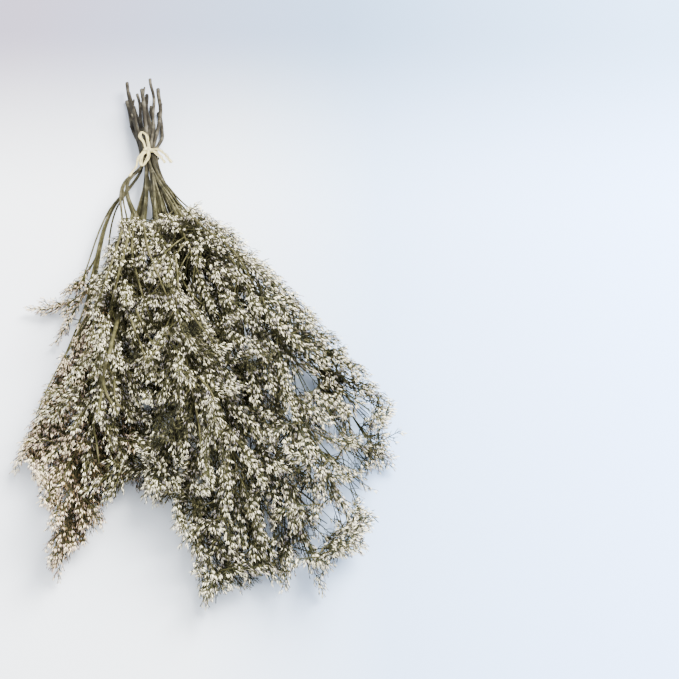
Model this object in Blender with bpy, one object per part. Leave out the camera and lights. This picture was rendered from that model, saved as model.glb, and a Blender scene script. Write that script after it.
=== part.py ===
"""A bunch of dried statice lying on a surface: twelve flowering stems, tied with a strip of raffia.

Metres, +Z up. The surface is z = 0, the cut ends point to +Y and the flower heads to -Y.
Each flowering stem is one closed body: a main stem and its flowering sprays, each a bare stalk
that ends in a slim twig set all round with florets, which are drawn larger than life. The main
stems follow the table below. The sprays are grown by a rule with a fixed seed: each goes where
it is clear of everything that has grown before it.
"""
from collections import namedtuple

import bmesh
import bpy
import numpy as np

# Where the tie stands on the surface, which centres the whole bunch on the origin.
TIE_X = -0.07567
TIE_Y = 0.18669

# The bundle at the tie: rows of stems lie in each other's hollows.
BUNDLE_BEARING = 10.5      # degrees from -Y towards +X
BUNDLE_PITCH = 0.0039      # between the middles of two stems in a row
ROW_PITCH = 0.0035
ROW_LENGTHS = (5, 4, 3)
BUNDLE_UNDERSIDE = 0.0122  # height of the lowest row's middles at the tie
STRAIGHT = 0.007           # half of the straight stretch through the tie

# Stems and stalks
CUT_END_RADIUS = 0.00185
TIE_RADIUS = 0.00170
SLIM_RADIUS = 0.00105
TIP_RADIUS = 0.00065
SLIM_FROM = 0.55           # share of the way from the tie to the tip where it is slim
STEM_SIDES = 5
STEM_TURN = np.pi / 10     # a flat side faces down
STEM_POINT = 0.05          # length of the point on its tip, as a share of the last ring's distance
RINGS_BEHIND = 4           # main stem rings behind the tie, and ahead of it
RINGS_AHEAD = 11
RING_CROWDING = 1.25       # above 1, the rings ahead stand closer together near the tie
STALK_RADIUS = 0.00080
TWIG_RADIUS = 0.00150
TWIG_SIDES = 4
TWIG_TURN = np.pi / 4      # the florets stand on the diagonals

# The course of a main stem. Halfway back it has gone these shares of the way from its place in
# the bundle to its cut end, across and down. Where it has left the bundle it has these shares of
# its reach, of its middle height and of its place across the bundle.
BACK_ACROSS, BACK_DOWN = 0.4, 0.7
LEAVING_REACH, LEAVING_RISE, LEAVING_ACROSS = 0.24, 0.35, 0.5
MIDDLE_REACH = 0.6

# Sprays
SPRAY_WIDTH = 0.0092       # from the twig's middle to the outermost floret tips
FLOWERING = (0.052, 0.070) # the shortest and the longest flowering part
FLORET_SPACING = 0.0067    # along the twig
FLORET_LEAN = 0.0060       # how far a floret's tip points ahead of its foot
UNEVEN = 0.14              # share by which florets differ in length
STALK = (0.006, 0.045)     # the shortest and the longest bare stalk
SUNK = 0.004               # how much of a stalk lies in its main stem or beside it
AT_TIP = (0.82, 0.25)      # shares of those lengths, flowers and stalk, near the main stem's tip
LEAN = (0.75, 1.35)        # least and greatest lean, as shares of the stem's spread
LEAN_BY_PLACE = (1.15, 0.80)     # share of it at the head's start and near the tip
LEAN_BY_SHARE = (1.35, 0.70)     # share of it below a spray's elbow and above
ELBOW_AT = 0.45            # share of the length below the elbow
ROOT_CROWDING = 0.85       # below 1, more sprays root towards the main stem's tip
ROOTLESS_POINTS = 4        # points of the path at its tip that bear no spray
LEADER_LENGTH = 0.058      # the spray that ends a main stem
LEADER_BARE = 0.07
LEADER_WIDTH = 0.0078
SPRAYS_PER_STEM = 12
TRIES = 45
SEED = 25

# A spray's rings: where the stalk's second ring and the last ring stand, how much slimmer its
# ends are, and how full the florets are along it.
STALK_RING = 0.6
LAST_RING = 0.97
SLIMMER = 0.6
FULL_AT_START, FULL_RISE = 0.5, 3.0
FULL_FALL, FULL_BEND = 0.62, 1.7
UNEVEN_PATTERN = (3.7, 2.3, 900.0)  # how the unevenness runs along, round and by root place

# How the growing sprays keep clear of each other
PATH_POINTS = 180
BALL_STEP = 0.0028
TWIG_BALL = 0.0012
FLORET_BALLS = ((0.33, 0.0015), (0.67, 0.0011), (1.0, 0.0006))  # share of its length, radius
CLEAR_OF_OTHERS = 0.0006
ROOT_ZONE = 0.012          # a spray may touch its own stem's growth this near its root
WIDEST_GAP = 0.02
HIGHEST = 0.103
LOWEST = -0.0012
TRIM_DEPTH = 0.02

# The raffia tie: a band round the bundle, with its knot on top
BAND_WIDTH = 0.0044
RAFFIA_THICKNESS = 0.0008
RAFFIA_GAP = 0.0004        # between the band and the stems
BAND_POINTS = 22
KNOT_SIZE = (0.0047, 0.0038, 0.0026)
KNOT_HEIGHT = 0.0238

# Each material's colour and roughness
DRIED = ((0.52, 0.48, 0.36), 0.85)
RAFFIA = ((0.80, 0.70, 0.50), 0.70)

# The strands that leave the knot, each with its width, its number of sections and the points
# that it runs through, to the right of the knot, away from the heads and up.
Strand = namedtuple("Strand", "width sections points")
STRANDS = (
    # The long loop over the stems, towards the heads.
    Strand(0.0028, 15, ((-0.0005, -0.0010, 0.0003), (-0.0034, -0.0110, 0.0032),
                        (-0.0038, -0.0215, 0.0060), (-0.0012, -0.0300, 0.0078),
                        (0.0026, -0.0220, 0.0066), (0.0026, -0.0110, 0.0038),
                        (0.0010, -0.0010, 0.0006))),
    # The narrow loop back over the cut ends.
    Strand(0.0022, 13, ((-0.0010, 0.0005, 0.0003), (-0.0052, 0.0100, 0.0024),
                        (-0.0094, 0.0190, 0.0034), (-0.0078, 0.0232, 0.0038),
                        (-0.0032, 0.0190, 0.0038), (0.0002, 0.0100, 0.0030),
                        (0.0016, 0.0008, 0.0006))),
    # Two free ends to the right, and a thin one to the left, from under the long loop.
    Strand(0.0030, 7, ((0.0010, 0.0002, 0.0000), (0.0110, -0.0004, 0.0020),
                       (0.0190, -0.0085, 0.0034), (0.0278, -0.0215, 0.0036))),
    Strand(0.0024, 7, ((0.0008, -0.0010, 0.0004), (0.0085, -0.0050, 0.0034),
                       (0.0150, -0.0130, 0.0050), (0.0215, -0.0235, 0.0054))),
    Strand(0.0018, 7, ((-0.0020, -0.0002, 0.0002), (-0.0070, -0.0140, 0.0034),
                       (-0.0078, -0.0290, 0.0054), (-0.0130, -0.0430, 0.0060))),
)

# One flowering stem. bearing and reach place its tip, seen from the tie; middle and tip are
# heights; leave is its bearing where it leaves the bundle; back, aside and end place its cut
# end, and bow is how far it bows aside halfway there; head is the distance where its sprays
# start, and spread is how far they lean out, in degrees.
Stem = namedtuple("Stem", "bearing reach middle tip leave back aside bow end head spread")

STEMS = (
    # The lowest row, from left to right. Its third stem lies on the surface under the heads.
    Stem(-11.8, 0.322, 0.012, 0.009, -20, 0.104, -0.0185, -0.001, 0.0012, 0.150, 25),
    Stem(-3.2, 0.410, 0.010, 0.008, -1, 0.094, -0.0100, 0.000, 0.0012, 0.250, 25),
    Stem(11.0, 0.442, 0.0006, 0.006, 11, 0.098, -0.0010, 0.001, 0.0012, 0.260, 26),
    Stem(21.5, 0.458, 0.010, 0.009, 18, 0.091, 0.0080, 0.002, 0.0012, 0.270, 25),
    Stem(34.0, 0.385, 0.013, 0.010, 27, 0.079, 0.0150, 0.006, 0.0012, 0.200, 27),
    # The middle row.
    Stem(-4.5, 0.205, 0.040, 0.046, -19, 0.122, -0.0150, -0.002, 0.0120, 0.105, 34),
    Stem(-1.5, 0.335, 0.044, 0.036, 2, 0.100, -0.0050, 0.000, 0.0130, 0.170, 30),
    Stem(17.0, 0.425, 0.044, 0.028, 15, 0.096, 0.0045, 0.001, 0.0140, 0.230, 26),
    Stem(26.5, 0.440, 0.042, 0.026, 22, 0.103, 0.0190, 0.005, 0.0140, 0.220, 26),
    # The top row.
    Stem(13.5, 0.355, 0.066, 0.056, 12, 0.089, -0.0120, -0.002, 0.0260, 0.150, 30),
    Stem(20.0, 0.215, 0.066, 0.076, 17, 0.094, 0.0010, 0.001, 0.0240, 0.110, 32),
    Stem(29.5, 0.330, 0.062, 0.048, 24, 0.107, 0.0125, 0.004, 0.0260, 0.150, 30),
)

# The outline of the heads is that of their shadow on the surface, in the light of a lamp that
# stands here, seen from the point below the tie. The shadow of the florets starts at this
# distance from there, and ends at these in each bearing.
LAMP = (0.201, -0.789, 0.806)
NEAREST = 0.066
OUTLINE = ((-20.0, 0.085), (-16.0, 0.130), (-14.2, 0.190), (-13.8, 0.362), (-9.9, 0.372),
           (-6.3, 0.413), (-5.7, 0.445), (-3.6, 0.462), (-1.7, 0.444), (0.1, 0.415),
           (3.0, 0.375), (5.8, 0.402), (7.8, 0.395), (8.6, 0.437), (9.8, 0.450),
           (10.8, 0.495), (15.3, 0.489), (16.7, 0.480), (18.6, 0.501), (20.7, 0.489),
           (22.4, 0.508), (23.9, 0.488), (26.8, 0.497), (30.3, 0.459), (32.7, 0.432),
           (36.0, 0.432), (38.0, 0.420), (41.0, 0.379), (43.2, 0.245), (45.2, 0.186),
           (47.4, 0.136))
INSIDE = 0.96              # least share of a spray's florets whose tips are inside it

# Three slim sprays that stand out to the left of the first stem, outside that outline: how far
# along the stem's path each leaves, its elbow and its tip, seen from the tie.
LONE_SPRAYS = (
    (0.60, (-0.0459, -0.1937, 0.014), (-0.0624, -0.2353, 0.009)),
    (0.64, (-0.0544, -0.2067, 0.014), (-0.0944, -0.1947, 0.009)),
    (0.55, (-0.0420, -0.1594, 0.015), (-0.0640, -0.1810, 0.010)),
)
LONE_BARE = 0.30
LONE_WIDTH = 0.0070

# One spray: a curve that leaves its stem at root, bends at elbow and ends at tip. bare is the
# share of it that is stalk, and width how far its florets reach from it.
Spray = namedtuple("Spray", "root elbow tip bare width")


def heading(bearing):
    """The level direction on a bearing: 0 is -Y, and 90 is +X."""
    angle = np.radians(bearing)
    return np.array([np.sin(angle), -np.cos(angle), 0.0])


def across(bearing):
    """The level direction to the right of a bearing."""
    return heading(bearing + 90.0)


def between(start, end, share):
    """The value at this share of the way from start to end."""
    return start + share * (end - start)


def smooth_path(points, count):
    """An evenly spaced curve through the points: a cubic between each two, with shared slopes."""
    points = np.asarray(points, float)
    at = np.concatenate([[0.0], np.cumsum(np.linalg.norm(np.diff(points, axis=0), axis=1))])
    slope = np.gradient(points, at, axis=0)
    fine = np.linspace(0.0, at[-1], 40 * len(points))
    i = np.clip(np.searchsorted(at, fine, side="right") - 1, 0, len(points) - 2)
    step = (at[i + 1] - at[i])[:, None]
    u = (fine - at[i])[:, None] / step
    curve = ((2 * u**3 - 3 * u**2 + 1) * points[i] + (u**3 - 2 * u**2 + u) * step * slope[i]
             + (3 * u**2 - 2 * u**3) * points[i + 1] + (u**3 - u**2) * step * slope[i + 1])
    run = np.concatenate([[0.0], np.cumsum(np.linalg.norm(np.diff(curve, axis=0), axis=1))])
    even = np.linspace(0.0, run[-1], count)
    return np.stack([np.interp(even, run, curve[:, k]) for k in range(3)], axis=1)


def bundle_places():
    """Each stem's place across and up at the tie, row by row."""
    return [((column - (length - 1) / 2) * BUNDLE_PITCH, BUNDLE_UNDERSIDE + row * ROW_PITCH)
            for row, length in enumerate(ROW_LENGTHS) for column in range(length)]


def stem_points(stem, place):
    """The points that a main stem runs through, from its cut end through the tie to its tip."""
    along, aside = heading(BUNDLE_BEARING), across(BUNDLE_BEARING)
    offset, height = place
    up = np.array([0.0, 0.0, 1.0])
    at_tie = aside * offset + up * height
    cut_end = -along * stem.back + aside * stem.aside + up * stem.end
    sideways = between(offset, stem.aside, BACK_ACROSS) + stem.bow
    half_back = (-along * stem.back / 2 + aside * sideways
                 + up * between(height, stem.end, BACK_DOWN))
    leaving = (heading(stem.leave) * LEAVING_REACH * stem.reach
               + aside * LEAVING_ACROSS * offset
               + up * between(height, stem.middle, LEAVING_RISE))
    own = heading(stem.bearing) * stem.reach
    return [cut_end, half_back, at_tie - along * STRAIGHT, at_tie + along * STRAIGHT, leaving,
            own * MIDDLE_REACH + up * stem.middle, own + up * stem.tip]


def run_from_tie(path):
    """The distance along a main stem from the tie, negative towards its cut end."""
    steps = np.linalg.norm(np.diff(path, axis=0), axis=1)
    run = np.concatenate([[0.0], np.cumsum(steps)])
    return run - run[np.argmin(np.abs(path @ heading(BUNDLE_BEARING)))]


def stem_radius(path):
    """The main stem's radius along its path: nearly even up to the tie, then tapering."""
    run = run_from_tie(path)
    return np.interp(run, [run[0], 0.0, SLIM_FROM * run[-1], run[-1]],
                     [CUT_END_RADIUS, TIE_RADIUS, SLIM_RADIUS, TIP_RADIUS])


def stem_rings(path):
    """The places of a main stem's rings: a few behind the tie, one close on each side of it,
    and the rest ahead of it, closer together where the stem bends most."""
    run = run_from_tie(path)
    behind = np.linspace(run[0], -STRAIGHT, RINGS_BEHIND)
    ahead = between(STRAIGHT, run[-1], np.linspace(0, 1, RINGS_AHEAD)**RING_CROWDING)
    wanted = np.concatenate([behind, ahead])
    return np.stack([np.interp(wanted, run, path[:, k]) for k in range(3)], axis=1)


def stem_path(stem, place):
    """A main stem's path: straight from ring to ring, with its points evenly spaced."""
    rings = stem_rings(smooth_path(stem_points(stem, place), PATH_POINTS))
    run = np.concatenate([[0.0], np.cumsum(np.linalg.norm(np.diff(rings, axis=0), axis=1))])
    even = np.linspace(0.0, run[-1], PATH_POINTS)
    return np.stack([np.interp(even, run, rings[:, k]) for k in range(3)], axis=1)


def frames(path):
    """Along, side and lift directions at each point of a path."""
    along = np.gradient(path, axis=0)
    along = along / np.linalg.norm(along, axis=1)[:, None]
    side = np.cross(along, [0.0, 0.0, 1.0])
    side = side / np.linalg.norm(side, axis=1)[:, None]
    return along, side, np.cross(side, along)


def ring_points(path, radii, lean, turn=0.0):
    """Rings of points round a path. radii and lean hold one value for each ring and side."""
    along, side, lift = frames(path)
    angle = turn + np.arange(radii.shape[1]) * 2 * np.pi / radii.shape[1]
    out = (np.cos(angle)[None, :, None] * side[:, None]
           + np.sin(angle)[None, :, None] * lift[:, None])
    return path[:, None] + out * radii[..., None] + along[:, None] * lean[..., None]


def spray_path(spray, share):
    """The points at these shares of a spray's curve, which is a parabola."""
    t = np.asarray(share)[:, None]
    return (1 - t)**2 * spray.root + 2 * t * (1 - t) * spray.elbow + t**2 * spray.tip


def spray_length(spray):
    return np.linalg.norm(spray.elbow - spray.root) + np.linalg.norm(spray.tip - spray.elbow)


def spray_rings(spray):
    """A spray's path, with its rings' radii and forward leans. On the flowering part every other
    corner of a ring stands out as a floret, and the next ring's florets take the corners between.
    The florets reach out quickly above the stalk, then less and less towards the tip."""
    bare = spray.bare
    rows = int(spray_length(spray) * (1 - bare) / FLORET_SPACING)
    share = np.concatenate([[0.0, STALK_RING * bare], np.linspace(bare, LAST_RING, rows)])
    j, c = np.meshgrid(np.arange(len(share)), np.arange(TWIG_SIDES), indexing="ij")
    floret = ((j + c) % 2 == 0) & (j >= 2)
    core = np.interp(share, [0.0, bare, between(bare, 1.0, 0.5), 1.0],
                     [SLIMMER * STALK_RADIUS, STALK_RADIUS, TWIG_RADIUS, SLIMMER * TWIG_RADIUS])
    u = np.clip((share - bare) / (1 - bare), 0.0, 1.0)
    full = np.clip(FULL_AT_START + FULL_RISE * u, 0.0, 1.0) * (1 - FULL_FALL * u**FULL_BEND)
    by_row, by_side, by_root = UNEVEN_PATTERN
    uneven = 1 + UNEVEN * np.sin(by_row * j + by_side * c + by_root * spray.root[0])
    radii = np.where(floret, spray.width * full[:, None] * uneven, core[:, None])
    lean = np.where(floret, FLORET_LEAN * full[:, None], 0.0)
    return spray_path(spray, share), radii, lean, floret


def floret_lines(spray):
    """The feet and the tips of a spray's florets."""
    path, radii, lean, floret = spray_rings(spray)
    feet = np.repeat(path[:, None], TWIG_SIDES, axis=1)[floret]
    return feet, ring_points(path, radii, lean, turn=TWIG_TURN)[floret]


def spray_balls(spray):
    """Balls that fill a spray: along its twig, and along each floret out to its tip."""
    count = int(spray_length(spray) / BALL_STEP)
    twig = spray_path(spray, np.linspace(0.0, 1.0, count))
    feet, tips = floret_lines(spray)
    points, sizes = [twig], [np.full(count, TWIG_BALL)]
    for share, size in FLORET_BALLS:
        points.append(feet + share * (tips - feet))
        sizes.append(np.full(len(feet), size))
    return np.concatenate(points), np.concatenate(sizes)


def spray_candidate(rng, stem, path):
    """A spray at a random place on a stem. Those near the stem's tip are shorter and lean less."""
    reach = np.linalg.norm(path[:, :2], axis=1)
    on_head = np.flatnonzero((reach >= stem.head) & (path[:, 1] < 0))
    place = rng.random()**ROOT_CROWDING
    index = on_head[int(place * (len(on_head) - ROOTLESS_POINTS))]
    root = path[index]
    ahead = path[index + 1] - path[index]
    ahead = ahead / np.linalg.norm(ahead)
    side = np.cross(ahead, [0.0, 0.0, 1.0])
    side = side / np.linalg.norm(side)
    turn = rng.uniform(0.0, 2 * np.pi)
    out = np.cos(turn) * side + np.sin(turn) * np.cross(side, ahead)
    lean = np.radians(stem.spread * rng.uniform(*LEAN) * between(*LEAN_BY_PLACE, place))
    start, finish = [np.cos(share * lean) * ahead + np.sin(share * lean) * out
                     for share in LEAN_BY_SHARE]
    flowers = rng.uniform(*FLOWERING) * between(1.0, AT_TIP[0], place)
    stalk = rng.uniform(*STALK) * between(1.0, AT_TIP[1], place) + SUNK
    length = flowers + stalk
    elbow = root + start * ELBOW_AT * length
    return Spray(root, elbow, elbow + finish * (1 - ELBOW_AT) * length, stalk / length,
                 SPRAY_WIDTH)


def within_outline(spray):
    """Whether the shadow of nearly all of a spray's florets lies inside the bunch's outline."""
    points = floret_lines(spray)[1]
    away = 1 / (1 - points[:, 2] / LAMP[2])
    x = LAMP[0] + (points[:, 0] - LAMP[0]) * away
    y = LAMP[1] + (points[:, 1] - LAMP[1]) * away
    bearings, reaches = zip(*OUTLINE)
    furthest = np.interp(np.degrees(np.arctan2(x, -y)), bearings, reaches, left=0.0, right=0.0)
    reach = np.hypot(x, y)
    return np.mean((NEAREST < reach) & (reach < furthest)) >= INSIDE


def leader(path):
    """The spray that ends a main stem, straight on from its tip."""
    ahead = path[-1] - path[-2]
    ahead = ahead / np.linalg.norm(ahead)
    root = path[-1] - ahead * SUNK
    return Spray(root, root + ahead * LEADER_LENGTH / 2, root + ahead * LEADER_LENGTH,
                 LEADER_BARE, LEADER_WIDTH)


def lone_spray(path, share, elbow, tip):
    """One of the slim sprays that stand out to the left."""
    root = path[int(share * len(path))]
    return Spray(root, np.array(elbow), np.array(tip), LONE_BARE, LONE_WIDTH)


class Crowd:
    """All that has grown so far, as balls, each with the number of its stem."""

    def __init__(self):
        self.points, self.sizes = np.empty((0, 3)), np.empty(0)
        self.owners = np.empty(0, int)

    def add(self, points, sizes, owner):
        self.points = np.concatenate([self.points, points])
        self.sizes = np.concatenate([self.sizes, sizes])
        self.owners = np.concatenate([self.owners, np.full(len(points), owner)])

    def room(self, points, sizes, chosen):
        """The least gap between these balls and the chosen ones near them."""
        middle = points.mean(axis=0)
        reach = np.linalg.norm(points - middle, axis=1).max() + WIDEST_GAP
        near = chosen & (((self.points - middle)**2).sum(axis=1) < reach**2)
        if not near.any():
            return WIDEST_GAP
        apart = np.linalg.norm(points[:, None] - self.points[None, near], axis=2)
        return min((apart - sizes[:, None] - self.sizes[None, near]).min(), WIDEST_GAP)


def grow():
    """The main stems' paths and each stem's sprays. The stems take turns, and each turn keeps
    the roomiest of several random sprays that are clear of all the other stems."""
    rng = np.random.default_rng(SEED)
    paths = [stem_path(stem, place) for stem, place in zip(STEMS, bundle_places())]
    sprays = [[leader(path)] for path in paths]
    sprays[0] += [lone_spray(paths[0], *points) for points in LONE_SPRAYS]
    crowd = Crowd()
    for i, path in enumerate(paths):
        crowd.add(path, stem_radius(path), i)
        for spray in sprays[i]:
            crowd.add(*spray_balls(spray), i)
    for _ in range(SPRAYS_PER_STEM):
        for i, stem in enumerate(STEMS):
            best, best_room = None, 0.0
            for _ in range(TRIES):
                spray = spray_candidate(rng, stem, paths[i])
                if not within_outline(spray):
                    continue
                points, sizes = spray_balls(spray)
                if points[:, 2].max() > HIGHEST or points[:, 2].min() < LOWEST:
                    continue
                room = crowd.room(points, sizes, crowd.owners != i) - CLEAR_OF_OTHERS
                if room <= best_room:
                    continue
                away = np.linalg.norm(points - spray.root, axis=1) > ROOT_ZONE
                room = min(room, crowd.room(points[away], sizes[away], crowd.owners == i))
                if room > best_room:
                    best, best_room = spray, room
            if best is not None:
                sprays[i].append(best)
                crowd.add(*spray_balls(best), i)
    return paths, sprays


def tube_faces(rings, sides):
    """Triangles of a tube, its start cap and its pointed end. Each quad is split along the
    diagonal that joins an odd ring's even side to an even ring's odd side."""
    j, c = np.meshgrid(np.arange(rings - 1), np.arange(sides), indexing="ij")
    n = (c + 1) % sides
    a, b, e, d = j * sides + c, j * sides + n, (j + 1) * sides + n, (j + 1) * sides + c
    even = ((j + c) % 2 == 0)[..., None, None]
    split_one = np.stack([np.stack([a, b, d], -1), np.stack([b, e, d], -1)], -2)
    split_two = np.stack([np.stack([a, b, e], -1), np.stack([a, e, d], -1)], -2)
    walls = np.where(even, split_one, split_two).reshape(-1, 3)
    cap = [(0, k + 1, k) for k in range(1, sides - 1)]
    last, point = (rings - 1) * sides, rings * sides
    end = [(last + k, last + (k + 1) % sides, point) for k in range(sides)]
    return np.concatenate([walls, cap, end])


def solid(name, points, faces):
    """A mesh object with its faces pointing outwards, moved to the tie's place."""
    mesh = bpy.data.meshes.new(name)
    mesh.from_pydata((points + [TIE_X, TIE_Y, 0.0]).tolist(), [], np.asarray(faces).tolist())
    shape = bmesh.new()
    shape.from_mesh(mesh)
    bmesh.ops.recalc_face_normals(shape, faces=shape.faces)
    shape.to_mesh(mesh)
    shape.free()
    return bpy.data.objects.new(name, mesh)


def main_stem(name, path):
    """A plain tapering tube from the cut end to the tip."""
    rings = stem_rings(path)
    radii = np.repeat(stem_radius(rings)[:, None], STEM_SIDES, axis=1)
    points = ring_points(rings, radii, np.zeros_like(radii), turn=STEM_TURN).reshape(-1, 3)
    point = rings[-1] + (rings[-1] - rings[-2]) * STEM_POINT
    return solid(name, np.vstack([points, point]), tube_faces(len(rings), STEM_SIDES))


def spray_solid(name, spray):
    """A spray's rings joined into a closed twig with florets, which ends in a point."""
    path, radii, lean, _ = spray_rings(spray)
    points = ring_points(path, radii, lean, turn=TWIG_TURN).reshape(-1, 3)
    ahead = path[-1] - path[-2]
    point = path[-1] + ahead / np.linalg.norm(ahead) * FLORET_LEAN
    return solid(name, np.vstack([points, point]), tube_faces(len(path), TWIG_SIDES))


def raffia_band():
    """A flat band that follows the tightest loop round the stems at the tie."""
    along, aside = heading(BUNDLE_BEARING), across(BUNDLE_BEARING)
    places = np.array(bundle_places())
    angle = np.arange(BAND_POINTS) * 2 * np.pi / BAND_POINTS
    out = np.stack([np.cos(angle), np.sin(angle)], axis=1)
    outermost = places[np.argmax(out @ places.T, axis=1)]
    rings = []
    for edge, skin in ((-1, 0), (1, 0), (1, 1), (-1, 1)):
        flat = outermost + out * (TIE_RADIUS + RAFFIA_GAP + skin * RAFFIA_THICKNESS)
        point = flat[:, :1] * aside + flat[:, 1:] * [0.0, 0.0, 1.0]
        rings.append(point + along * edge * BAND_WIDTH / 2)
    points = np.stack(rings, axis=1).reshape(-1, 3)
    j, c = np.meshgrid(np.arange(BAND_POINTS), np.arange(4), indexing="ij")
    k, n = (j + 1) % BAND_POINTS, (c + 1) % 4
    quads = np.stack([4 * j + c, 4 * k + c, 4 * k + n, 4 * j + n], axis=-1).reshape(-1, 4)
    return solid("raffia_tie", points, quads)


def raffia_knot():
    """The knot: a squashed ball sunk in the top of the band."""
    shape = bmesh.new()
    bmesh.ops.create_icosphere(shape, subdivisions=1, radius=1.0)
    points = np.array([vertex.co for vertex in shape.verts]) * KNOT_SIZE
    faces = [[vertex.index for vertex in face.verts] for face in shape.faces]
    shape.free()
    return solid("knot", points + [0.0, 0.0, KNOT_HEIGHT], faces)


def raffia_strand(name, strand):
    """A flat strip along a smooth path, lying level from side to side."""
    path = smooth_path(strand.points, strand.sections) + [0.0, 0.0, KNOT_HEIGHT]
    _, side, lift = frames(path)
    wide, thick = side * strand.width / 2, lift * RAFFIA_THICKNESS / 2
    rings = np.stack([path - wide - thick, path + wide - thick,
                      path + wide + thick, path - wide + thick], axis=1)
    count = len(path)
    j, c = np.meshgrid(np.arange(count - 1), np.arange(4), indexing="ij")
    a, b, d, e = 4 * j + c, 4 * j + (c + 1) % 4, 4 * j + 4 + c, 4 * j + 4 + (c + 1) % 4
    walls = np.concatenate([np.stack([a, b, e], -1).reshape(-1, 3),
                            np.stack([a, e, d], -1).reshape(-1, 3)])
    last = 4 * (count - 1)
    caps = [(0, 3, 2), (0, 2, 1), (last, last + 1, last + 2), (last, last + 2, last + 3)]
    return solid(name, rings.reshape(-1, 3), np.concatenate([walls, caps]))


def raffia_tie(finish):
    """The whole tie in one body: band, knot, loops and free ends."""
    base = raffia_band()
    bpy.context.scene.collection.objects.link(base)
    strands = [raffia_strand(f"strand_{k}", strand) for k, strand in enumerate(STRANDS)]
    join_all(base, [raffia_knot()] + strands)
    base.data.materials.clear()
    base.data.materials.append(finish)


def evaluated(base):
    """The object's mesh with its modifiers applied to it."""
    graph = bpy.context.evaluated_depsgraph_get()
    mesh = bpy.data.meshes.new_from_object(base.evaluated_get(graph))
    base.modifiers.clear()
    base.data = mesh


def join_all(base, others):
    """One Boolean union of the base with all the others, which are then removed."""
    group = bpy.data.collections.new(base.name + "_sprays")
    bpy.context.scene.collection.children.link(group)
    for other in others:
        group.objects.link(other)
    union = base.modifiers.new("join", "BOOLEAN")
    union.operation = "UNION"
    union.operand_type = "COLLECTION"
    union.collection = group
    union.solver = "EXACT"
    evaluated(base)
    for other in others:
        bpy.data.objects.remove(other)
    bpy.data.collections.remove(group)


def trim_below_surface(base):
    """Cuts off what would reach below the surface, which leaves small flats to rest on."""
    bpy.ops.mesh.primitive_cube_add(size=1.0, location=(0.0, 0.0, -TRIM_DEPTH / 2))
    ground = bpy.context.object
    ground.scale = (1.0, 1.0, TRIM_DEPTH)
    cut = base.modifiers.new("trim", "BOOLEAN")
    cut.operation = "DIFFERENCE"
    cut.object = ground
    cut.solver = "EXACT"
    evaluated(base)
    bpy.data.objects.remove(ground)


def keep_largest(base):
    """Drops any scrap that a cut has left loose."""
    shape = bmesh.new()
    shape.from_mesh(base.data)
    left = set(shape.verts)
    groups = []
    while left:
        front = [left.pop()]
        group = set(front)
        while front:
            vertex = front.pop()
            near = {edge.other_vert(vertex) for edge in vertex.link_edges} & left
            left -= near
            group |= near
            front.extend(near)
        groups.append(group)
    keep = max(groups, key=len)
    bmesh.ops.delete(shape, geom=[v for v in shape.verts if v not in keep], context="VERTS")
    shape.to_mesh(base.data)
    shape.free()


def material(name, colour, roughness):
    """A plain Principled material."""
    made = bpy.data.materials.new(name)
    made.use_nodes = True
    shader = made.node_tree.nodes["Principled BSDF"]
    shader.inputs["Base Color"].default_value = (*colour, 1.0)
    shader.inputs["Roughness"].default_value = roughness
    shader.inputs["Metallic"].default_value = 0.0
    return made


def flowering_stem(number, path, sprays, finish):
    """One flowering stem: its main stem and sprays joined, and trimmed to the surface."""
    name = f"flowering_stem_{number:02d}"
    base = main_stem(name, path)
    bpy.context.scene.collection.objects.link(base)
    join_all(base, [spray_solid(f"{name}_spray_{k}", spray) for k, spray in enumerate(sprays)])
    if min(vertex.co.z for vertex in base.data.vertices) < 0:
        trim_below_surface(base)
    keep_largest(base)
    base.data.materials.clear()
    base.data.materials.append(finish)


def clear_scene():
    for other in list(bpy.data.objects):
        bpy.data.objects.remove(other)


def main():
    clear_scene()
    dried = material("dried_statice", *DRIED)
    raffia = material("raffia", *RAFFIA)
    paths, sprays = grow()
    for i, path in enumerate(paths):
        flowering_stem(i + 1, path, sprays[i], dried)
    raffia_tie(raffia)


main()
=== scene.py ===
"""A bunch of dried statice on a pale surface: woody stems, fine twigs, papery florets and a tie.

Metres, +Z up, cut ends to +Y and flower heads to -Y. Each flowering stem grows by the same rule
and from the same numbers as its solid, so its pieces lie where the solid does. It is dressed as
three pieces: the wood of its main stem and stalks, its fine twigs, and its florets.
"""
from collections import namedtuple

import bpy
import numpy as np
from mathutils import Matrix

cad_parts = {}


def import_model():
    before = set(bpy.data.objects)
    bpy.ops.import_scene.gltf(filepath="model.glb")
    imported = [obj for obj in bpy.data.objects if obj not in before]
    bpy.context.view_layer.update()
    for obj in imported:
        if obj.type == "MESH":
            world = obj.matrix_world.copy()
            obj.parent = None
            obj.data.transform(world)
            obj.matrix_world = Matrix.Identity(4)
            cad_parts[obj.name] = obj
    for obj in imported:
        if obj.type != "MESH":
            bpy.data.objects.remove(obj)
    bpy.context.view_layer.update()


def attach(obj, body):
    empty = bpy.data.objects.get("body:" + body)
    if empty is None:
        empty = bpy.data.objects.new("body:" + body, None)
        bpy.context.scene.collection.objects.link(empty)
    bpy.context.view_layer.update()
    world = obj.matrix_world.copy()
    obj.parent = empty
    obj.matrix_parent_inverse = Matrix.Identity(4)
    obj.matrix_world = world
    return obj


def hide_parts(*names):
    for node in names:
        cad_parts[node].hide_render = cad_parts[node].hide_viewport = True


# Where the tie stands on the surface, which centres the whole bunch on the origin.
TIE_X = -0.07567
TIE_Y = 0.18669

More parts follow.
